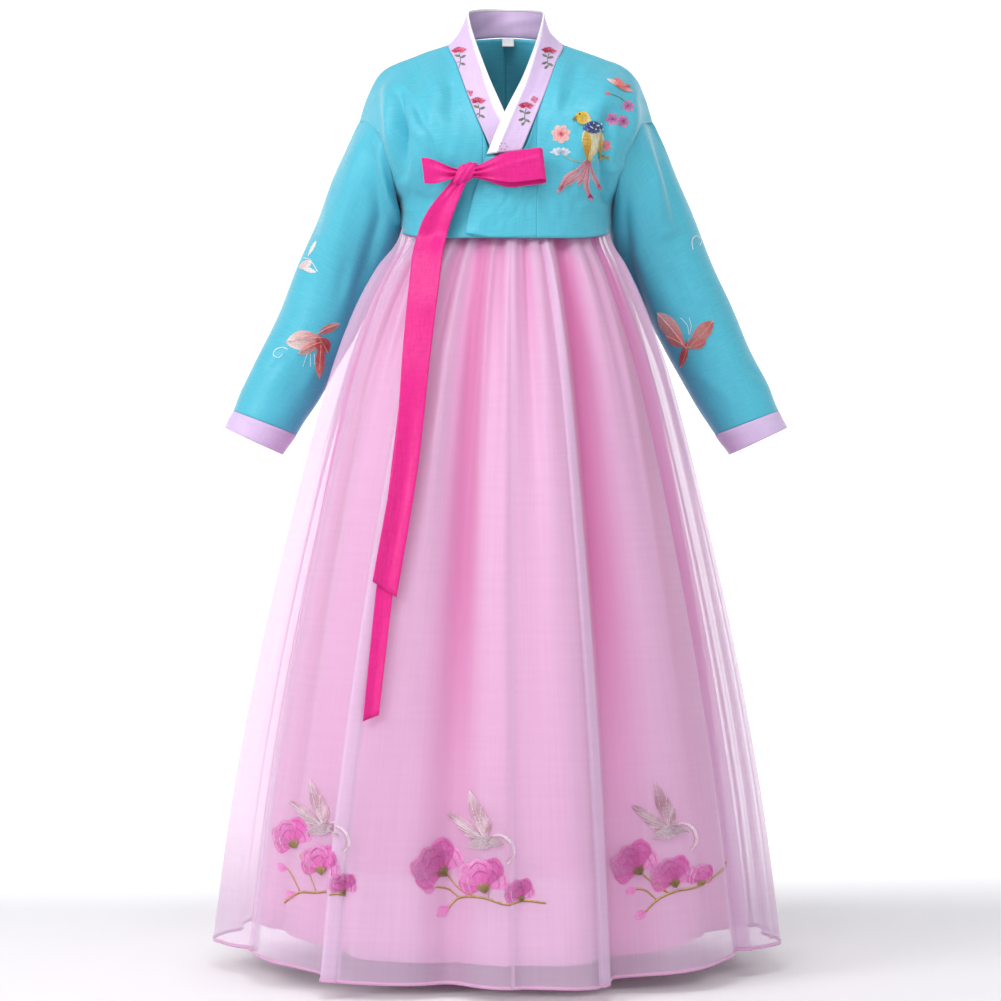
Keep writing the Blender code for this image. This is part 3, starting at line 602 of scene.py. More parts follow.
# The middle spray.
branch([(-72, -1118), (-58, -1104), (-30, -1101), (0, -1108), (20, -1104), (49, -1106)], 51)
branch([(-58, -1105), (-72, -1094), (-88, -1091)], 52, 1.4)
branch([(-36, -1101), (-58, -1093), (-74, -1076)], 53, 1.5)
branch([(-22, -1102), (-23, -1093)], 54, 1.3)
branch([(18, -1104), (22, -1100)], 55, 1.3)
magnolia(-78, -1074, 46, 128, 320)
magnolia(-26, -1090, 42, 104, 420)
magnolia(18, -1100, 26, 104, 520)
petal((-89, -1092), 15, 12, 190, BUD, 61)
petal((-72, -1116), 19, 14, 216, BUD, 62)
silver_bird(-34, -1006, 48, 70)

# The spray at the wearer's left.
branch([(176, -1126), (190, -1112), (212, -1102), (240, -1098), (262, -1090), (286, -1078)], 81)
branch([(190, -1112), (176, -1100), (164, -1098)], 82, 1.4)
branch([(206, -1104), (190, -1094), (172, -1080)], 83, 1.5)
branch([(240, -1098), (246, -1092)], 84, 1.3)
magnolia(168, -1076, 42, 122, 620)
magnolia(212, -1092, 38, 108, 720)
magnolia(246, -1092, 24, 86, 820)
petal((163, -1098), 14, 11, 200, BUD, 91)
petal((176, -1126), 16, 12, 214, BUD, 92)
silver_bird(198, -1000, 48, 100)
skirt_edges["right"].append(worked_on("skirt_embroidery", [skirt_lengths["right"], skirt_lengths["left"]], "organza"))

# Jacket backs -------------------------------------------------------------------------------------
# Two backs of plain teal silk, seamed down the centre back. Their shoulders run straight on to the fronts',
# and their sides to the dropped armholes.

NECK, SHOULDER_END = (0.0765, 0.004, 0.001), (0.1965, 0.014, -0.101)
UNDERARM, SIDE_HEM = (0.144, 0.018, -0.212), (0.1385, 0.0, -0.252)
BACK_NECK, BACK_HEM = (0.0, 0.072, 0.02), (0.0, 0.106, -0.254)
SHOULDER_LINE = (NECK, (0.127, 0.008, -0.016), (0.166, 0.011, -0.0345), (0.185, 0.013, -0.066), SHOULDER_END)
ARMHOLE_BACK = (SHOULDER_END, (0.178, 0.058, -0.114), (0.162, 0.082, -0.146), (0.15, 0.07, -0.188), UNDERARM)
BACK_NECKLINE = (BACK_NECK, (0.045, 0.056, 0.0145), NECK)

# A soft fold or pull in the cloth: a line in the front view, how wide it is, and how far it stands out.
Crease = namedtuple("Crease", "line width out")


def creases(*rows):
    """Creases given in millimetres."""
    return [Crease(np.array(line) / 1000, width / 1000, out / 1000) for line, width, out in rows]


BACK_CREASES = creases(
    (((150, -70), (134, -130), (118, -170)), 10, 5.6),
    (((164, -105), (146, -150), (140, -190)), 8, -8.4),
    (((118, -30), (104, -90)), 14, -3.5),
    (((70, -120), (60, -200)), 16, 2.8),
    (((128, -205), (96, -225)), 8, -3.1),
)


def through(points):
    """A smooth line through the points, as a function of the share of its length."""
    points = np.array(points, float)
    steps = np.linalg.norm(np.diff(points, axis=0), axis=1)
    along = np.concatenate([[0.0], np.cumsum(steps)])
    slopes = np.empty_like(points)
    slopes[1:-1] = (points[2:] - points[:-2]) / (along[2:] - along[:-2])[:, None]
    slopes[0], slopes[-1] = (points[1] - points[0]) / steps[0], (points[-1] - points[-2]) / steps[-1]

    def at(share):
        reach = np.clip(np.asarray(share, float), 0, 1) * along[-1]
        i = np.clip(np.searchsorted(along, reach, side="right") - 1, 0, len(points) - 2)
        span = steps[i][..., None]
        t = (reach - along[i])[..., None] / span
        return hermite(points[i], points[i + 1], slopes[i] * span, slopes[i + 1] * span, t)
    return at


def one_then(first, second, corner):
    """One edge after another, with a corner between them."""
    def at(share):
        share = np.asarray(share, float)
        return np.where((share <= corner)[..., None], first(np.minimum(share / corner, 1)),
                        second(np.maximum(share - corner, 0) / (1 - corner)))
    return at


def spanned(bottom, top, inner, outer, columns, rows, fullness=(0, 0, 0)):
    """A piece of cloth spanned by its four cut edges, eased where an edge has a corner, and filled out."""
    u, v = grid(columns, rows)
    u3, v3 = u[..., None], v[..., None]
    points = bottom(u) * (1 - v3) + top(u) * v3 + inner(v) * (1 - u3) + outer(v) * u3
    points -= (bottom(0.0) * (1 - u3) + bottom(1.0) * u3) * (1 - v3) + (top(0.0) * (1 - u3) + top(1.0) * u3) * v3
    for _ in range(60):
        middle = (points[:-2, 1:-1] + points[2:, 1:-1] + points[1:-1, :-2] + points[1:-1, 2:]) / 4
        points[1:-1, 1:-1] += 0.8 * (middle - points[1:-1, 1:-1])
    return points + np.array(fullness) * (np.sin(math.pi * u) * np.sin(math.pi * v))[..., None]


def outward(points, tube=False):
    """The outward direction at each point of a piece."""
    wide = np.concatenate([points[:, -2:-1], points, points[:, 1:2]], axis=1)
    right = wide[:, 2:] - wide[:, :-2] if tube else np.gradient(points, axis=1)
    normal = np.cross(right, np.gradient(points, axis=0))
    return normal / np.maximum(np.linalg.norm(normal, axis=2, keepdims=True), 1e-9)


def pressed(points, creases, front, tube=False):
    """Works the creases into the side of a piece that faces the front, or the back."""
    normal = outward(points, tube)
    facing = smooth(-normal[..., 1] * (1 if front else -1) / 0.35)
    moved = np.zeros(points.shape[:2])
    for crease in creases:
        line, nearest, share = crease.line, np.full(moved.shape, 9.0), np.zeros(moved.shape)
        for k in range(len(line) - 1):
            step, here = line[k + 1] - line[k], points[..., [0, 2]] - line[k]
            along = np.clip(here @ step / (step @ step), 0, 1)
            away = np.linalg.norm(here - along[..., None] * step, axis=-1)
            share = np.where(away < nearest, (k + along) / (len(line) - 1), share)
            nearest = np.minimum(away, nearest)
        moved += crease.out * np.exp(-((nearest / crease.width) ** 2)) * np.sin(math.pi * (0.12 + 0.76 * share))
    return points + normal * (moved * facing)[..., None]


def rumpled(points, seed, depth, across=7, up=7, tube=False):
    """Adds the slight unevenness of cloth that has been worn: low swells of no fixed shape."""
    chance = unevenly(seed)
    u, v = grid(points.shape[1] - 1, points.shape[0] - 1)
    swell = np.zeros(u.shape)
    for k in range(10):
        a = chance.integers(1, across) if tube else chance.uniform(1, across)
        swell += np.sin(2 * math.pi * (a * u * chance.choice([-1, 1]) + chance.uniform(0.5, up) * v + chance.random())) / 3
    hold = 1.0 if tube else np.sin(math.pi * u) ** 0.5
    return points + outward(points, tube) * (depth * swell * hold * np.sin(math.pi * v) ** 0.5)[..., None]


def seamed(points, seams, tube=False, dip=0.0005, reach=0.0022):
    """Draws the cloth in along its seams, where it is stitched to the next piece."""
    u, v = grid(points.shape[1] - 1, points.shape[0] - 1)
    width = np.linalg.norm(np.diff(points, axis=1), axis=2).sum(1)[:, None]
    height = np.linalg.norm(np.diff(points, axis=0), axis=2).sum(0)[None, :]
    near = {"left": u * width, "right": (1 - u) * width, "foot": v * height, "top": (1 - v) * height}
    drawn = sum(dip * np.exp(-((near[edge] / reach) ** 2)) for edge in seams)
    return points - outward(points, tube) * drawn[..., None]


def other_side(points):
    """The same piece cut for the wearer's other side."""
    return points[:, ::-1] * (-1, 1, 1)


def hem_line(x, half_depth, z_middle):
    """The jacket's hem, an oval seen from above, level with the side seams at its ends."""
    reach = np.sqrt(np.maximum(0.0, 1 - np.minimum(1.0, np.abs(x) / SIDE_HEM[0]) ** 2.6))
    return np.stack([x, half_depth * reach, SIDE_HEM[2] + (z_middle - SIDE_HEM[2]) * smooth(reach)], axis=-1)


teal_silk = woven("teal silk", (0.062, 0.435, 0.57), (0.088, 0.49, 0.625), 0.44, 0.3, slub=(38, 760), bump=0.07)
side_seam = through((SIDE_HEM, tuple((a + b) / 2 for a, b in zip(SIDE_HEM, UNDERARM)), UNDERARM))
back_armhole, shoulder, back_neck = through(ARMHOLE_BACK), through(SHOULDER_LINE), through(BACK_NECKLINE)
centre_back = through((BACK_HEM, (0, 0.108, -0.15), (0, 0.096, -0.06), BACK_NECK))
back = spanned(
    lambda u: hem_line(SIDE_HEM[0] * (1 - np.asarray(u, float)), BACK_HEM[1], BACK_HEM[2]),
    one_then(lambda t: shoulder(1 - t), lambda t: back_neck(1 - t), 0.62),
    one_then(side_seam, lambda t: back_armhole(1 - t), 0.22), centre_back, 60, 60, (0, 0.009, 0))
backs = {}
for side, seed in (("left", 5), ("right", 6)):
    points = pressed(back, BACK_CREASES, front=False)
    points = seamed(rumpled(points, seed, 0.001), ("left", "right", "top"))
    backs[side] = laid(f"back_{side}_silk", points if side == "left" else other_side(points), teal_silk)
    worn(backs[side], "jacket_cloth", f"back_{side}", flat=(0.2, 0.28), area=0.053, held="hung",
         rests_on=["skirt_back_organza"])

# Jacket fronts ------------------------------------------------------------------------------------
# The two fronts, of the same teal silk. Each runs from its overlap seam out to the armhole and up over the
# shoulder. Worn, they break into a deep fold beside each arm and softer pulls from the shoulders.

FRONT_HEM_Y, FRONT_HEM_Z = -0.118, -0.267
OVERLAP_SEAM_X, UNDERLAP_SEAM_X = 0.04, 0.03
FRONT_NECKLINE = (NECK, (0.066, -0.04, -0.03), (0.052, -0.074, -0.072), (0.037, -0.096, -0.112),
                  (0.021, -0.1095, -0.152))
ARMHOLE_FRONT = (SHOULDER_END, (0.176, -0.034, -0.114), (0.158, -0.054, -0.146), (0.148, -0.04, -0.188), UNDERARM)
LEFT_FRONT_CREASES = creases(
    (((132, -100), (129, -150), (131, -208)), 7.5, -16.5),
    (((170, -55), (166, -110), (156, -150)), 9, 7),
    (((160, -156), (146, -171), (133, -180)), 4.5, 4.8),
    (((73, -50), (60, -105)), 11, 3.6),
    (((98, -20), (82, -88)), 12, -4.2),
    (((146, -34), (130, -82), (106, -118)), 13, 4.2),
    (((120, -100), (80, -140)), 9, -2),
    (((124, -215), (92, -226)), 6, 2.2),
)
RIGHT_FRONT_CREASES = creases(
    (((140, -74), (136.5, -120), (135, -180)), 7.5, -17),
    (((156, -60), (152, -110), (150, -160)), 7.5, 7.7),
    (((132, -86), (117, -125), (96, -147)), 8.5, 5.3),
    (((114, -96), (100, -126)), 7, -3.4),
    (((117, -28), (123, -78)), 11, -4.8),
    (((96, -22), (91, -76), (103, -128)), 12, 4.2),
    (((69, -58), (72, -104)), 10, -3.1),
    (((132, -200), (108, -214), (86, -216)), 6, -3.1),
    (((134, -216), (118, -230)), 5, 2.8),
)
front_neckline, front_armhole = through(FRONT_NECKLINE), through(ARMHOLE_FRONT)
neckline_points = front_neckline(np.linspace(0, 1, 201))


def chest(x, z):
    """The jacket's front near the wrap, as a place in the front view brought onto the chest."""
    at_neck, (_, neck_y, neck_z) = np.interp(z, neckline_points[::-1, 2], neckline_points[::-1, 1]), FRONT_NECKLINE[-1]
    middle = at_neck - 0.004 + (FRONT_HEM_Y - neck_y + 0.004) * smooth((neck_z - z) / (neck_z - FRONT_HEM_Z))
    y = middle * np.sqrt(1 - np.minimum(1.0, np.abs(x) / SIDE_HEM[0]) ** 2.6)
    return np.stack(np.broadcast_arrays(x, y, z), axis=-1)


def front_hem(x):
    return hem_line(x, FRONT_HEM_Y, FRONT_HEM_Z)


def overlap_seam(x):
    """A front's join to its overlap panel from the hem up, and where that meets the collar's seam."""
    k = int(np.argmax(neckline_points[:, 0] <= x))
    meets, foot = neckline_points[k], front_hem(np.float64(x))
    return through((foot, chest(x, foot[2] * 0.66 + meets[2] * 0.34), meets)), meets, k / 200


def front_points(seam_x):
    seam, meets, share = overlap_seam(seam_x)
    return spanned(lambda u: front_hem(seam_x + (SIDE_HEM[0] - seam_x) * np.asarray(u, float)), shoulder,
                   one_then(seam, lambda t: front_neckline(share * (1 - t)), 0.58),
                   one_then(side_seam, lambda t: front_armhole(1 - t), 0.22), 72, 72, (0, -0.012, 0))


fronts = {}
for side, seam_x, pulls, seed in (("left", OVERLAP_SEAM_X, LEFT_FRONT_CREASES, 7),
                                  ("right", UNDERLAP_SEAM_X, RIGHT_FRONT_CREASES, 8)):
    points = pressed(front_points(seam_x), pulls, front=True)
    points = seamed(rumpled(points, seed, 0.0008), ("left", "right", "top"))
    fronts[side] = laid(f"front_{side}_silk", points if side == "left" else other_side(points), teal_silk)
    worn(fronts[side], "jacket_cloth", f"front_{side}")

# Overlap panels -----------------------------------------------------------------------------------
# The narrow panel (seop) on each front's inner edge, which carries the wrap past the centre. The upper one
# ends in a free edge left of the centre, whose lower corner curls forward. The under one is hidden but for
# a little below the bow.

LAP = 0.0026


def overlap_points(seam_x, free_top, free_foot_x, stand_off, curl):
    seam, meets, _ = overlap_seam(seam_x)
    foot_x, top = np.float64(free_foot_x), chest(*free_top)
    upper = through((top, front_neckline(1.0) + np.array((-0.002, 0, -0.004)), meets))
    free = through((front_hem(foot_x), chest((free_top[0] + foot_x) / 2, -0.205), top))
    points = spanned(lambda u: front_hem(foot_x + (seam_x - foot_x) * np.asarray(u, float)), upper, free, seam, 48, 40)
    u, v = grid(48, 40)
    points[..., 1] -= stand_off * smooth((1 - u) / 0.45)
    corner = np.exp(-((u / 0.22) ** 2)) * np.exp(-((v / 0.1) ** 2))
    points += np.array((0.002, -0.005, 0.005)) * (curl * corner)[..., None]
    points[..., 1] -= curl * 0.0012 * np.exp(-(((u - 0.16) / 0.09) ** 2)) * smooth((0.5 - v) / 0.4)
    return points


overlap = overlap_points(OVERLAP_SEAM_X, (-0.026, -0.162), -0.055, LAP, 1.0)
underlap = overlap_points(UNDERLAP_SEAM_X, (-0.024, -0.166), -0.048, -2.5 * LAP, 0.0)
for node, points in (("overlap_left", seamed(rumpled(overlap, 9, 0.0007), ("right", "top"))),
                     ("underlap_right", other_side(underlap))):
    worn(laid(f"{node}_silk", points, teal_silk), "jacket_cloth", node, flat=(0.098, 0.13), area=0.0095,
         held="hung", rests_on=["skirt_right_organza"])

# Sleeves ------------------------------------------------------------------------------------------
# Each sleeve is one piece of the teal silk joined under the arm, set to the body at a dropped armhole. It
# is wide at the top, hangs close to the body, and folds softly where the arm leaves the side.

SleeveSection = namedtuple("SleeveSection", "upper_x upper_z lower_x lower_z middle_y half_depth")
SLEEVE = [SleeveSection(*row) for row in (
    (0.197, -0.1018, 0.1446, -0.2132, 0.016, 0.066),
    (0.219, -0.147, 0.1405, -0.245, 0.03, 0.066),
    (0.246, -0.211, 0.152, -0.286, 0.042, 0.06),
    (0.284, -0.3, 0.188, -0.35, 0.056, 0.055),
    (0.32, -0.382, 0.2245, -0.42, 0.06, 0.051),
    (0.3515, -0.448, 0.258, -0.478, 0.056, 0.047),
    (0.368, -0.487, 0.2835, -0.519, 0.052, 0.044),
)]
LEFT_SLEEVE_CREASES = creases(
    (((190, -95), (206, -150), (220, -200), (232, -248)), 8.5, -6.4),
    (((180, -112), (198, -180), (208, -250)), 12, 5.9),
    (((158, -205), (161, -285), (191, -364)), 9.5, -8.4),
    (((206, -255), (240, -240)), 6, 2.2),
    (((212, -300), (236, -336)), 11, -2.5),
    (((250, -330), (285, -352)), 10, 2.2),
    (((318, -426), (347, -446)), 5, -2),
    (((258, -440), (300, -470)), 9, 2.1),
)
RIGHT_SLEEVE_CREASES = creases(
    (((168, -140), (158, -200), (146, -232)), 5.5, 9.8),
    (((176, -150), (168, -232), (188, -300), (212, -372)), 10, -8.1),
    (((192, -110), (214, -218), (232, -290)), 14, 5.9),
    (((214, -292), (224, -340)), 9, -3.1),
    (((246, -216), (262, -262)), 8, -2.2),
    (((250, -420), (272, -462)), 9, 2.5),
    (((300, -420), (330, -448)), 7, -2),
)
BACK_SLEEVE_CREASES = creases(
    (((182, -112), (186, -190), (204, -262)), 11, 6.4),
    (((168, -150), (160, -214), (176, -290)), 8.5, -9.2),
    (((206, -140), (228, -220)), 9.5, -4.8),
    (((230, -310), (276, -342)), 10, 3.4),
    (((262, -392), (300, -420)), 8, -2.8),
)


def oval(table, turn, down):
    """Points of a sleeve: turn 0 is on its upper line, a quarter in front and a half below."""
    row, lower = row_of(table, down), 0.5 - 0.5 * np.cos(2 * math.pi * turn)
    return np.stack([row.upper_x + (row.lower_x - row.upper_x) * lower,
                     row.middle_y - row.half_depth * np.sin(2 * math.pi * turn),
                     row.upper_z + (row.lower_z - row.upper_z) * lower], axis=-1)


def sleeve_points(columns, rows):
    """A sleeve drawn on to the armhole at its top, clear of the body, with its edge tucked under it."""
    u, v = grid(columns, rows)
    turn, down = 1 - u, 1 - v
    round_top = turn[-1]
    armhole = np.where((round_top <= 0.5)[:, None], front_armhole(np.minimum(2 * round_top, 1)),
                       back_armhole(np.minimum(2 - 2 * round_top, 1)))
    points = oval(SLEEVE, turn, down)
    points += (armhole - oval(SLEEVE, round_top, 0 * round_top))[None] * (1 - smooth(down * 3.2))[..., None]
    lower = 0.5 - 0.5 * np.cos(2 * math.pi * turn)
    clear = np.stack([0.0003 + 0.0005 * lower, 0 * lower, 0 * lower - 0.0003], axis=-1)
    tucked = points[-1:] - points[-5:-4]
    tucked = 0.0024 * tucked / np.linalg.norm(tucked, axis=2, keepdims=True) - 0.001 * outward(points, True)[-1:]
    return points + clear * (1 - smooth(down * 4))[..., None] + tucked * (1 - smooth(down * 45))[..., None]


sleeves = {}
for side, pulls, seed in (("left", LEFT_SLEEVE_CREASES, 15), ("right", RIGHT_SLEEVE_CREASES, 16)):
    points = pressed(sleeve_points(112, 120), pulls, front=True, tube=True)
    points = pressed(points, BACK_SLEEVE_CREASES, front=False, tube=True)
    points = seamed(rumpled(points, seed, 0.0011, 4, 5, tube=True), ("foot", "top"), tube=True)
    sleeves[side] = laid(f"sleeve_{side}_silk", points if side == "left" else other_side(points), teal_silk,
                         tube=True)
    worn(sleeves[side], "jacket_cloth", f"sleeve_{side}")

# Cuffs --------------------------------------------------------------------------------------------
# A straight lilac band, interlined so that it stays crisp, sewn round the end of each sleeve and pressed to
# a sharp edge.

CUFF = [SleeveSection(*row) for row in (
    (0.3682, -0.4874, 0.2837, -0.5194, 0.052, 0.044),
    (0.374, -0.499, 0.2933, -0.5327, 0.051, 0.0425),
    (0.3795, -0.5105, 0.303, -0.546, 0.05, 0.041),
)]
lilac_silk = woven("lilac silk", (0.62, 0.465, 0.72), (0.68, 0.52, 0.77), 0.48, 0.25, slub=(60, 700))
for side, seed in (("left", 17), ("right", 18)):
    u, v = grid(96, 10)
    points = seamed(rumpled(oval(CUFF, 1 - u, 1 - v), seed, 0.0004, 4, 2, tube=True), ("top",), tube=True)
    cuff = laid(f"cuff_{side}_silk", points if side == "left" else other_side(points), lilac_silk, 0.0014, tube=True)
    worn(cuff, "collar_cloth", f"cuff_{side}", flat=(0.225, 0.036), held="stretched",
         rests_on=[f"sleeve_{side}_silk"])

# Collar -------------------------------------------------------------------------------------------
# The lilac collar (git), one long interlined strip from the end of the under front, round the neck, to the
# end of the upper front, and the white strip (dongjeong) of stiffened tape basted over its free edge.

COLLAR_BACK_TOP, COLLAR_SIDE_TOP = (0.0, 0.068, 0.059), (0.0515, 0.002, 0.04)
COLLAR_CROSSING = (-0.002, -0.095, -0.106)
GUARD_AT_BACK, GUARD_AT_FRONT = 0.06, 0.3


def mirrored(point):
    return (-point[0], point[1], point[2])


COLLAR_SEAM = ((-0.019, -0.107, -0.152), *[mirrored(p) for p in FRONT_NECKLINE[3:0:-1]], mirrored(NECK),
               mirrored(BACK_NECKLINE[1]), BACK_NECK, BACK_NECKLINE[1], *FRONT_NECKLINE)
cx, cy, cz = COLLAR_CROSSING
COLLAR_EDGE = ((0.019, -0.101, -0.15), (cx + 0.0005, cy + 0.003, cz + 0.005), (-0.025, -0.066, -0.045),
               mirrored(COLLAR_SIDE_TOP), (-0.04, 0.044, 0.0545), COLLAR_BACK_TOP, (0.04, 0.044, 0.0545),
               COLLAR_SIDE_TOP, (0.025, -0.07, -0.045), (cx - 0.0005, cy - 0.004, cz + 0.003),
               (-0.025, -0.114, -0.158))
collar_seam, collar_edge = through(COLLAR_SEAM), through(COLLAR_EDGE)


def collar_strip(low, high, rows, crown):
    """A strip of the collar between two shares of its width, each given the white strip's own edge, a
    little rounded across it. The upper end stands off the lower one where they cross."""
    u, v = grid(240, rows)
    guard = 1 - GUARD_AT_BACK - (GUARD_AT_FRONT - GUARD_AT_BACK) * smooth((np.abs(2 * u - 1) - 0.25) / 0.6)
    share = (low(guard) + (high(guard) - low(guard)) * v)[..., None]
    points = collar_seam(u) * (1 - share) + collar_edge(u) * share
    points[..., 1] += -LAP * smooth((u - 0.8) / 0.14) + 0.0012 * smooth((0.2 - u) / 0.14)
    return points + outward(points) * (crown * np.sin(math.pi * v) ** 0.7)[..., None]


white_tape = woven("white tape", (0.86, 0.86, 0.88), (0.95, 0.95, 0.96), 0.5, 0.1, slub=(300, 300), bump=0.05)
strip = collar_strip(lambda guard: 0.02, lambda guard: guard + 0.03, 14, 0.0008)
collar = laid("collar_silk", seamed(rumpled(strip, 21, 0.0005, 14, 2), ("foot",)), lilac_silk, 0.0012)
worn(collar, "collar_cloth", "collar")
guard = laid("collar_guard_tape", collar_strip(lambda guard: guard, lambda guard: 1.0, 8, 0.0004), white_tape, 0.002)
worn(guard, "white_tape", "collar_guard", flat=(0.48, 0.012), area=0.0052, held="stretched",
     rests_on=["collar_silk"])

# Label --------------------------------------------------------------------------------------------
# A small blank tab of white tape, folded over and sewn to the inside of the back neck by its top edge.

u, v = grid(12, 10)
tab = np.stack([0.011 - 0.016 * (1 - u), 0.0685 - 0.0022 * (1 - v) ** 2 - 0.0006 * np.sin(math.pi * u),
                0.0195 - 0.012 * (1 - v)], axis=-1)
label = laid("neck_label_tape", tab, white_tape, 0.0008)
worn(label, "white_tape", "label", flat=(0.016, 0.012), held="hung", rests_on=["collar_silk"])

# Embroidery on the jacket -------------------------------------------------------------------------
# Worked by machine in rayon thread before the jacket was sewn up: roses down the collar, a golden bird with
# flowers on the wearer's left chest, and a coral butterfly on the lower part of each sleeve.

CRIMSON, RED_PINK, PINK_TIP = (0.44, 0.006, 0.06), (0.7, 0.035, 0.15), (0.9, 0.26, 0.38)
LEAF, DARK_LEAF, DUSTY = (0.2, 0.26, 0.1), (0.1, 0.15, 0.07), ((0.6, 0.3, 0.36), (0.46, 0.3, 0.24))


def rose(x, z, size, seed, way):
    """A small rose seen a little from the side: pointed petals in two rows, over paired leaves."""
    for k, turn in enumerate((172, 8, 146, 34, 200, -20, 118, 62, 90)):
        tip = reached((x, z), size * (1.12 if k < 2 else 0.95 - 0.03 * k), turn, 0.72)
        colours = (CRIMSON, RED_PINK, PINK_TIP) if k % 2 else (RED_PINK, CRIMSON, RED_PINK)
        leaf((x, z - 1), tip, size * 0.42, colours, seed + k, 0.6, 0.1 * k)
    for turn in (20, 90, 160):
        leaf((x, z), reached((x, z), size * 0.4, turn, 0.85), size * 0.2, (CRIMSON, PINK_TIP), seed + 9 + turn,
             raised=1.0)
    stem([(x, z - size * 0.4), (x + way * size * 0.25, z - size * 1.4), (x + way * size * 0.15, z - size * 2.5)],
         DARK_LEAF, seed + 20, 0.9)
    for turn, drop, long in ((158, 1.0, 0.9), (20, 1.2, 0.9), (205, 1.8, 1.0), (-28, 2.0, 0.9), (228, 2.4, 0.7)):
        base = (x + way * size * 0.2, z - size * drop)
        leaf(base, reached(base, size * long, turn), size * 0.36, (DARK_LEAF, LEAF), seed + 230 + turn)


rose(-62.5, -10.8, 9.2, 1000, 1)
rose(-37.0, -85.0, 9.5, 1100, 1)
blossom(-47.8, -73.8, 5, 30, 4, (CRIMSON, PINK_TIP), 1200, 0.85)
rose(57.0, -11.8, 9.2, 1300, -1)
rose(26.2, -92.5, 9.2, 1400, -1)
blossom(37.2, -83.2, 5, 10, 4, (CRIMSON, PINK_TIP), 1500, 0.85)
for k in range(6):
    petal(reached((-5, -147.6), 4.5, 60 * k), 2.2, 2.0, 0, DUSTY, 1600 + k)
collar_roses = worked_on("collar_embroidery", [collar, guard], "collar_cloth")

GOLD, CREAM, NAVY, BLUE = (0.8, 0.56, 0.06), (0.86, 0.78, 0.52), (0.03, 0.06, 0.26), (0.1, 0.18, 0.5)
OCHRE, RUST, STREAMER, WINE = (0.7, 0.42, 0.05), (0.5, 0.24, 0.03), (0.8, 0.26, 0.32), (0.42, 0.03, 0.14)
CORAL, LIGHT_CORAL, PLUM, VIOLET = (0.78, 0.15, 0.15), (0.85, 0.36, 0.33), (0.4, 0.03, 0.26), (0.6, 0.14, 0.42)
PALE_TIP, FROST, BLACK, BARK = (0.93, 0.66, 0.6), (0.9, 0.92, 0.95), (0.02, 0.02, 0.02), (0.5, 0.42, 0.2)

# The bird: head and beak, speckled blue shoulders, ochre and cream breast, and long pink tail feathers.
for k, (points, width) in enumerate((
        (((105, -164), (93, -178), (79, -188), (70, -206)), 7.8),
        (((106, -164), (99, -181), (85, -192), (74, -199)), 6.0),
        (((107, -165), (103, -180), (99, -189), (93, -196)), 5.5),
        (((108, -165), (107, -185), (105, -196), (111, -212)), 7.2),
        (((109, -165), (113, -181), (118, -189), (123, -198)), 6.6))):
    feather(points, width, (STREAMER, (0.88, 0.46, 0.5), STREAMER), 2010 + 10 * k)
    stem(points, (0.5, 0.08, 0.16), 2012 + 10 * k, 0.4, 0.6)
leaf((74.5, -198.0), (66.0, -208.0), 6.5, (WINE, STREAMER, (0.85, 0.8, 0.84)), 2060, raised=0.4)
leaf((109.5, -206.0), (111.0, -216.0), 7.0, (NAVY, WINE, (0.75, 0.7, 0.84)), 2061, raised=0.4)
leaf((120.0, -193.0), (124.5, -199.5), 5.5, (WINE, STREAMER), 2062, raised=0.4)
leaf((107.5, -168.0), (117.0, -116.0), 29.0, (OCHRE, CREAM, CREAM), 2070, 0.64)
leaf((105.5, -167.0), (105.0, -127.0), 12.0, (RUST, OCHRE, GOLD), 2071, 0.64, 0.5)
leaf((124.0, -162.0), (125.0, -128.0), 5.0, (OCHRE, GOLD, CREAM), 2072, 0.6, 0.6)
leaf((100.0, -123.5), (126.5, -119.5), 15.5, (BLUE, NAVY, BLUE), 2080, 0.5, 0.8)
for k in range(14):
    x, z = 103 + 1.8 * k * 0.95, -121.5 + 4.2 * math.sin(2.4 * k) + 0.2 * k
    stem([(x, z), (x + 0.7, z - 1.4)], (0.72, 0.8, 0.92), 2082 + k, 0.7, 1.8)
leaf((111.0, -113.0), (90.5, -106.0), 18.0, (CREAM, GOLD, GOLD), 2097, 0.52, 1.0)
leaf((92.5, -107.5), (86.5, -113.0), 3.6, (OCHRE, (0.35, 0.2, 0.05)), 2098, 0.4, 1.2)
leaf((95.2, -105.0), (97.0, -105.0), 1.8, (BLACK, BLACK), 2099, 0.5, 2.2)
stem([(76, -160), (92, -166), (113, -164), (133, -156)], BARK, 2100, 1.2)
blossom(71.5, -130.5, 13.0, 15, 7, ((0.75, 0.1, 0.16), (0.88, 0.42, 0.4), PALE_TIP), 2200, 0.62, (0.62, 0.06, 0.14))
blossom(71.5, -130.5, 8.5, 40, 6, ((0.7, 0.1, 0.16), (0.9, 0.56, 0.52)), 2220, 0.62)
for turn, reach in ((0, 13), (28, 11), (60, 9), (120, 9), (152, 12), (182, 15), (215, 10), (325, 10)):
    leaf((71.6, -154.3), reached((71.6, -154.3), reach, turn, 0.7), 4.6, (NAVY, (0.74, 0.82, 0.92), FROST), 2300 + turn)
blossom(131, -143, 7.2, 40, 5, (CORAL, PINK_TIP), 2400, 0.8)
for turn in (200, 235, 320):
    petal((130, -156), 9.0, 3.6, turn, (LEAF, (0.46, 0.44, 0.24)), 2500 + turn)

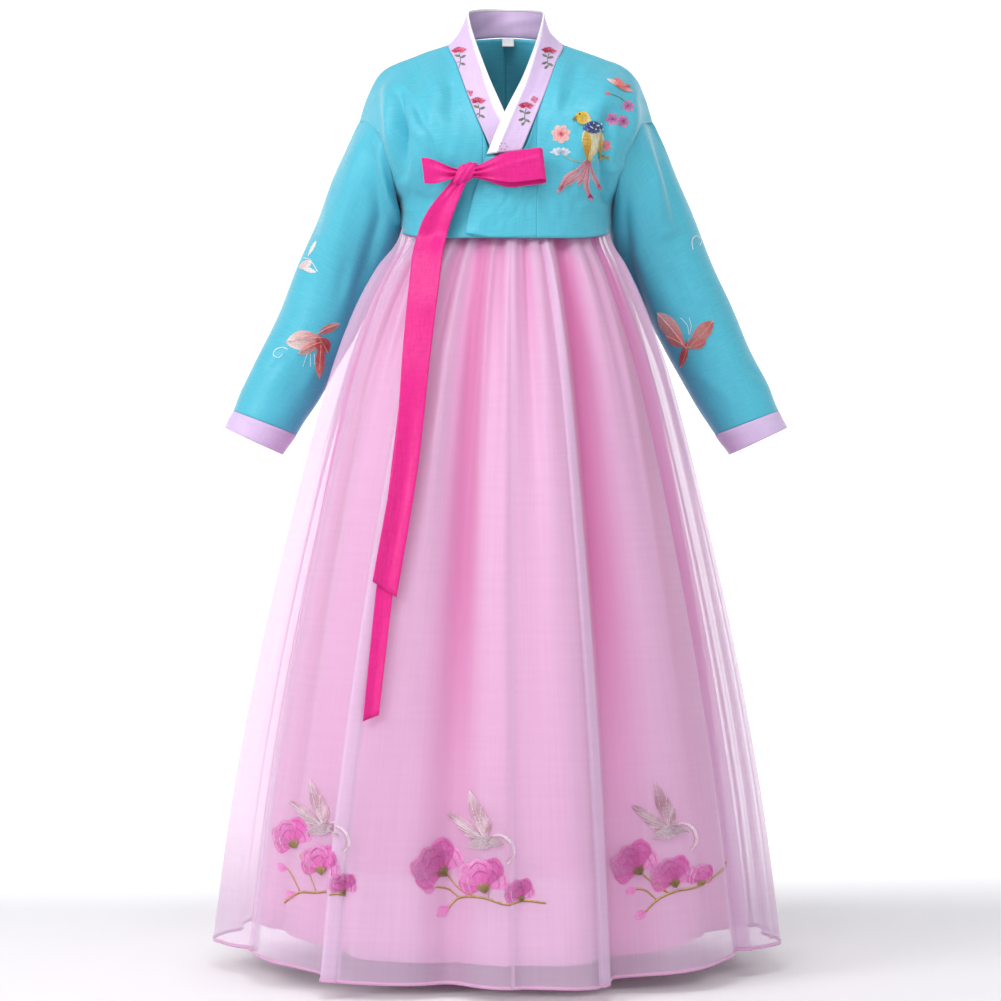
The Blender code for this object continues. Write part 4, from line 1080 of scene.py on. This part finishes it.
# A small swallowtail near the shoulder, a bud on its stem and three plum flowers.
leaf((162, -64.0), (133, -51.0), 7.0, (CORAL, LIGHT_CORAL, (0.92, 0.66, 0.6)), 2600)
leaf((164, -65.5), (143, -49.0), 8.0, (LIGHT_CORAL, CORAL), 2605, raised=0.3)
leaf((142, -60.0), (168, -66.5), 6.0, (CORAL, LIGHT_CORAL), 2610, raised=0.6)
leaf((156, -62.0), (165, -56.0), 4.5, (CORAL, PINK_TIP), 2615, raised=0.6)
petal((137, -74), 7.0, 5.8, 170, (CORAL, PINK_TIP), 2620)
stem([(138, -74.5), (148, -77), (158, -83)], DARK_LEAF, 2630, 0.8)
for x, z, size, turn, seed in ((161, -88, 8.8, 20, 2640), (154, -110, 8.8, 50, 2650), (139.5, -108, 9.2, 5, 2660)):
    blossom(x, z, size, turn, 6, (PLUM, VIOLET, PINK_TIP), seed, 0.6, (0.3, 0.02, 0.2))
chest_flowers = worked_on("chest_embroidery", [fronts["left"], sleeves["left"]], "jacket_cloth")

PALE_CORAL, SCARLET, WHITE_THREAD = (0.88, 0.56, 0.54), (0.74, 0.08, 0.08), (0.86, 0.84, 0.88)


def butterfly(wings, seed, fullest, bend_x, bend_z):
    """The wings and body of a butterfly, each with a pale vein that bends a little to one side."""
    for k, (base, tip, width, colours) in enumerate(wings):
        leaf(base, tip, width, colours, seed + 10 * k, fullest, 0.2 * k)
        stem([base, ((base[0] + tip[0]) / 2 + bend_x, (base[1] + tip[1]) / 2 + bend_z), tip], PALE_CORAL,
             seed + 5 + 10 * k, 0.7, 1.0)


butterfly((((242, -404), (204, -356), 21.0, (CORAL, LIGHT_CORAL, PALE_CORAL)),
           ((243, -403), (216, -386), 15.0, (CORAL, LIGHT_CORAL)),
           ((244, -404), (277, -368), 20.0, (CORAL, LIGHT_CORAL, CORAL)),
           ((244, -404), (268, -395), 13.0, (LIGHT_CORAL, CORAL)),
           ((245, -390), (236, -429), 9.5, (CORAL, SCARLET, CORAL))), 3000, 0.6, 2, 0)
stem([(245, -386), (243, -374), (234, -364)], WHITE_THREAD, 3100, 0.7)
stem([(246, -386), (248, -375), (245, -364)], WHITE_THREAD, 3110, 0.7)
stem([(250, -272), (249, -260), (256, -253), (263, -259), (260, -266)], WHITE_THREAD, 3500, 1.2)

butterfly((((-247, -390), (-295.0, -397), 26.0, (CORAL, PALE_CORAL, (0.94, 0.8, 0.76))),
           ((-248, -396), (-278.0, -412), 13.0, (CORAL, LIGHT_CORAL, PALE_CORAL)),
           ((-253, -386), (-223.4, -371), 11.0, (CORAL, LIGHT_CORAL)),
           ((-252, -388), (-240.0, -410), 20.0, (CORAL, SCARLET, CORAL)),
           ((-248, -396), (-252.0, -444), 12.0, (CORAL, SCARLET, LIGHT_CORAL))), 4000, 0.55, 0, 2)
stem([(-292, -406), (-300, -403), (-309, -406), (-312, -413), (-305, -417), (-299, -412)], (0.72, 0.86, 0.9),
     4130, 1.2)
for x, lean in ((-266, -6), (-262, 0), (-257, 1)):
    stem([(x, -412), (x + lean * 0.5, -420), (x + lean, -429)], (0.62, 0.82, 0.88), 4200 + int(-10.0 * x), 0.9)
leaf((-279, -296), (-260, -288), 12.0, ((0.92, 0.56, 0.5), (0.94, 0.88, 0.88)), 4300)
leaf((-274, -296), (-254, -303), 6.0, ((0.92, 0.8, 0.8), (0.94, 0.9, 0.9)), 4305)
leaf((-266, -280), (-254, -260), 5.0, ((0.9, 0.72, 0.7), (0.92, 0.9, 0.9)), 4310)
stem([(-272, -282), (-262, -286), (-252, -302)], WHITE_THREAD, 4320, 1.0)
sleeve_butterflies = worked_on("sleeve_embroidery", [sleeves["left"], sleeves["right"]], "jacket_cloth")

# Bow and ties -------------------------------------------------------------------------------------
# The two magenta ribbons (goreum), each a double strip with pressed edges, tied in front of the wearer's
# right breast in a single loop. One end is short and stands out beyond the knot, and two ends hang down.

KNOT = np.array((-0.053, -0.127, -0.184))
KNOT_HALF_LENGTH, KNOT_HALF_HEIGHT, KNOT_HALF_DEPTH = 0.015, 0.0135, 0.0085
BOW_TILT = math.radians(7)
LOOP_REACH, LOOP_HALF_WIDTH, LOOP_HALF_DEPTH = 0.093, 0.0205, 0.006
STUB_REACH, STUB_HALF_WIDTH = 0.047, 0.017
TailSection = namedtuple("TailSection", "x clear z half_width turn_deg")
TAIL_SHORT = [TailSection(*row) for row in (
    (-0.06, 0.012, -0.19, 0.01, 20), (-0.0855, 0.01, -0.233, 0.018, 12),
    (-0.098, 0.008, -0.275, 0.0195, 6), (-0.104, 0.008, -0.33, 0.0195, 3),
    (-0.114, 0.008, -0.42, 0.018, 0), (-0.128, 0.0085, -0.56, 0.0155, 0),
    (-0.154, 0.0085, -0.72, 0.015, 0),
)]
TAIL_LONG = [TailSection(*row) for row in (
    (-0.061, 0.008, -0.19, 0.0085, 20), (-0.087, 0.0055, -0.233, 0.0145, 12),
    (-0.0995, 0.004, -0.275, 0.016, 6), (-0.105, 0.004, -0.33, 0.0155, 3),
    (-0.115, 0.004, -0.42, 0.013, 0), (-0.131, 0.0045, -0.56, 0.012, 0),
    (-0.152, 0.0045, -0.72, 0.011, 0), (-0.17, 0.0045, -0.88, 0.01, 0),
)]


def from_knot(along, forward, up):
    """Places beside the knot: along the tilted bow, towards the viewer, and upwards."""
    c, s = math.cos(BOW_TILT), math.sin(BOW_TILT)
    return KNOT + np.stack(np.broadcast_arrays(along * c - up * s, -forward, along * s + up * c), axis=-1)


magenta_silk = woven("magenta ribbon", (0.66, 0.005, 0.2), (0.76, 0.01, 0.25), 0.42, 0.12, slub=(500, 60))

# The knot: the ribbon wrapped once round on a slant, drawn into pleats.
u, v = grid(96, 28)
angle, end = 2 * math.pi * u, 2 * v - 1
pinch = 1 - 0.3 * end**2 + 0.05 * np.cos(9 * end + 2 * angle)
up = KNOT_HALF_HEIGHT * 0.9 * pinch * np.cos(angle)
forward = KNOT_HALF_DEPTH * 0.85 * pinch * np.sin(angle)
knot = laid("bow_knot_ribbon", from_knot(KNOT_HALF_LENGTH * 0.8 * end + 0.62 * up, forward, up), magenta_silk,
            0.001, tube=True)

# The loop: out along the front, round its end and back behind, pleated where the knot holds it.
u, v = grid(110, 28)
across = 2 * v - 1
turn = math.pi * smooth((u - 0.4) / 0.2)
out = 1 - np.abs(2 * u - 1)
reach = LOOP_REACH * np.minimum(1.0, out / 0.8) + 0.006 * np.sin(turn)
forward = LOOP_HALF_DEPTH * (0.42 + 0.58 * smooth(reach / 0.05)) + 0.001 * np.sin(math.pi * v)
forward = forward + 0.0026 * np.exp(-((reach / 0.03) ** 2)) * np.cos(5 * math.pi * v + 0.6)
forward = forward + 0.0012 * np.exp(-(((across * LOOP_HALF_WIDTH - 0.12 * reach + 0.004) / 0.004) ** 2))
up = LOOP_HALF_WIDTH * (0.3 + 0.7 * smooth(reach / 0.06)) * across
up = up - 0.005 * (1 - np.cos(turn)) / 2 * smooth(reach / 0.05)
loop = laid("bow_loop_ribbon", from_knot(0.004 + reach, forward * np.cos(turn), up), magenta_silk, 0.0009, 0.0)

# The short end, fanned out from the knot and cut square.
u, v = grid(40, 24)
out = 1 - u
up = STUB_HALF_WIDTH * (0.34 + 0.66 * smooth(out * 1.15)) * (2 * v - 1) + 0.01 * out
fan = 0.0034 * np.exp(-((out / 0.55) ** 2)) * np.cos(3.5 * math.pi * v) + 0.0014 * np.cos(math.pi * (v - 0.2)) * out
stub = laid("bow_stub_ribbon", from_knot(-0.007 - STUB_REACH * out, fan, up), magenta_silk, 0.0009, 0.0)


def front_of_skirt(x, z):
    """How far forward the jacket, or the skirt below it, stands at a place in the front view."""
    if z > -0.253:
        return float(chest(x, z)[1]) - LAP - 0.0012
    lower = next(i for i, row in enumerate(SKIRT) if row.z <= z)
    down = (lower - 1 + (SKIRT[lower - 1].z - z) / (SKIRT[lower - 1].z - SKIRT[lower].z)) / (len(SKIRT) - 1)
    row = row_of(SKIRT, np.array(down))
    degrees = math.degrees(math.asin(np.clip((x - row.middle_x) / row.half_width, -1, 1)))
    near = degrees + np.linspace(-5, 5, 9)
    return float(skirt_surface(SKIRT, near, np.full(9, down))[:, 1].min()) - 0.0012


def tail_points(table, end_slant, rows, channel, seed):
    """A hanging end. It follows the jacket and the skirt, is gathered at the knot and cut on a slant, and
    its edges stand forward or back of its middle by the channel's depth."""
    u, v = grid(20, rows)
    row, across = row_of(table, 1 - v), 2 * u - 1
    behind = np.array([min(front_of_skirt(x + side * half, z + rise) for side in (-1, 0, 1)
                           for rise in (-0.012, 0, 0.012))
                       for x, z, half in zip(row.x[:, 0], row.z[:, 0], row.half_width[:, 0])])
    for _ in range(6):
        behind[1:-1] = (behind[:-2] + 2 * behind[1:-1] + behind[2:]) / 4
    turn, out = np.radians(row.turn_deg), across * row.half_width
    y = behind[:, None] - row.clear - out * np.sin(turn)
    y = y + channel * np.cos(math.pi * across) * (0.4 + 0.6 * np.sin(9 * v + seed))
    y = y - 0.0018 * np.exp(-(((1 - v) / 0.08) ** 2)) * np.cos(5 * math.pi * u)
    z = row.z - end_slant * across * smooth((0.3 - v) / 0.3)
    return np.stack([row.x + out * np.cos(turn) + 0.0016 * np.sin(7 * v + seed), y, z], axis=-1)


tie_short = laid("tie_short_ribbon", tail_points(TAIL_SHORT, 0.01, 110, 0.0022, 1.0), magenta_silk, 0.0009, 0.0)
tie_long = laid("tie_long_ribbon", tail_points(TAIL_LONG, -0.004, 140, 0.0018, 2.4), magenta_silk, 0.0009, 0.0)
for piece, node, held, flat, area in (
        (knot, "bow_knot", "folded", (0.024, 0.072), None), (loop, "bow_loop", "folded", (0.2, 0.041), 0.0075),
        (stub, "bow_stub", "folded", (0.047, 0.034), 0.0014), (tie_short, "tie_short", "hung", (0.036, 0.55), 0.0185),
        (tie_long, "tie_long", "hung", (0.03, 0.72), 0.0172)):
    worn(piece, "ribbon", node, flat=flat, area=area, held=held, rests_on=["overlap_left_silk"])

# Studio -------------------------------------------------------------------------------------------
# A plain pale floor that rises softly into a wall all round, large soft lights in front, and a long lens
# level with the middle of the set.

FLOOR_Z, COVE_RADIUS, COVE_RISE, RINGS, SPOKES = -1.23, 8.0, 6.6, 40, 96
paint = bpy.data.materials.new("pale studio paint")
paint.use_nodes = True
fed(paint, paint.node_tree.nodes["Principled BSDF"], {"Base Color": (0.93, 0.93, 0.94, 1), "Roughness": 0.9})
turn, share = np.meshgrid(2 * math.pi * np.arange(SPOKES) / SPOKES, np.arange(RINGS + 1) / RINGS)
radius = COVE_RADIUS * share**0.8
rise = COVE_RISE * smooth((radius - 2.4) / 5.6) ** 1.6
cove_points = np.stack([radius * np.cos(turn), radius * np.sin(turn), FLOOR_Z + rise], axis=-1).reshape(-1, 3)
cove_faces = [(i * SPOKES + k, (i + 1) * SPOKES + k, (i + 1) * SPOKES + (k + 1) % SPOKES, i * SPOKES + (k + 1) % SPOKES)
              for i in range(1, RINGS) for k in range(SPOKES)]
shown("studio_cove", cove_points.tolist(), [*cove_faces, tuple(range(SPOKES, 2 * SPOKES))], paint)


def put(name, data, place):
    """A light or camera at its place."""
    thing = bpy.data.objects.new(name, data)
    thing.location = place
    bpy.context.scene.collection.objects.link(thing)
    return thing


for name, place, aim, size, power in (
        ("key light", (-3.0, -2.6, 1.7), (0, 0, -0.5), 1.8, 82), ("fill light", (2.6, -3.4, 0.2), (0, 0, -0.6), 3.0, 20),
        ("top light", (-0.2, -1.7, 2.6), (0, 0.05, -0.1), 1.6, 52), ("wall light", (0, 1.8, 2.0), (0, 7, 0), 4.0, 185)):
    lamp = bpy.data.lights.new(name, "AREA")
    lamp.energy, lamp.size = power, size
    put(name, lamp, place).rotation_euler = (Vector(aim) - Vector(place)).to_track_quat("-Z", "Y").to_euler()

world = bpy.data.worlds.new("soft daylight")
world.use_nodes = True
world.node_tree.nodes["Background"].inputs["Color"].default_value = (0.97, 0.98, 1.0, 1)
world.node_tree.nodes["Background"].inputs["Strength"].default_value = 0.34
bpy.context.scene.world = world
bpy.context.scene.view_settings.view_transform = "Standard"
bpy.context.scene.cycles.transparent_max_bounces = 24

lens = bpy.data.cameras.new("long lens")
lens.lens, lens.sensor_width = 113, 36
camera = put("long lens", lens, (-0.0073, -4.2, -0.6085))
camera.rotation_euler = (math.radians(90), 0, 0)
bpy.context.scene.camera = camera

bpy.context.view_layer.update()
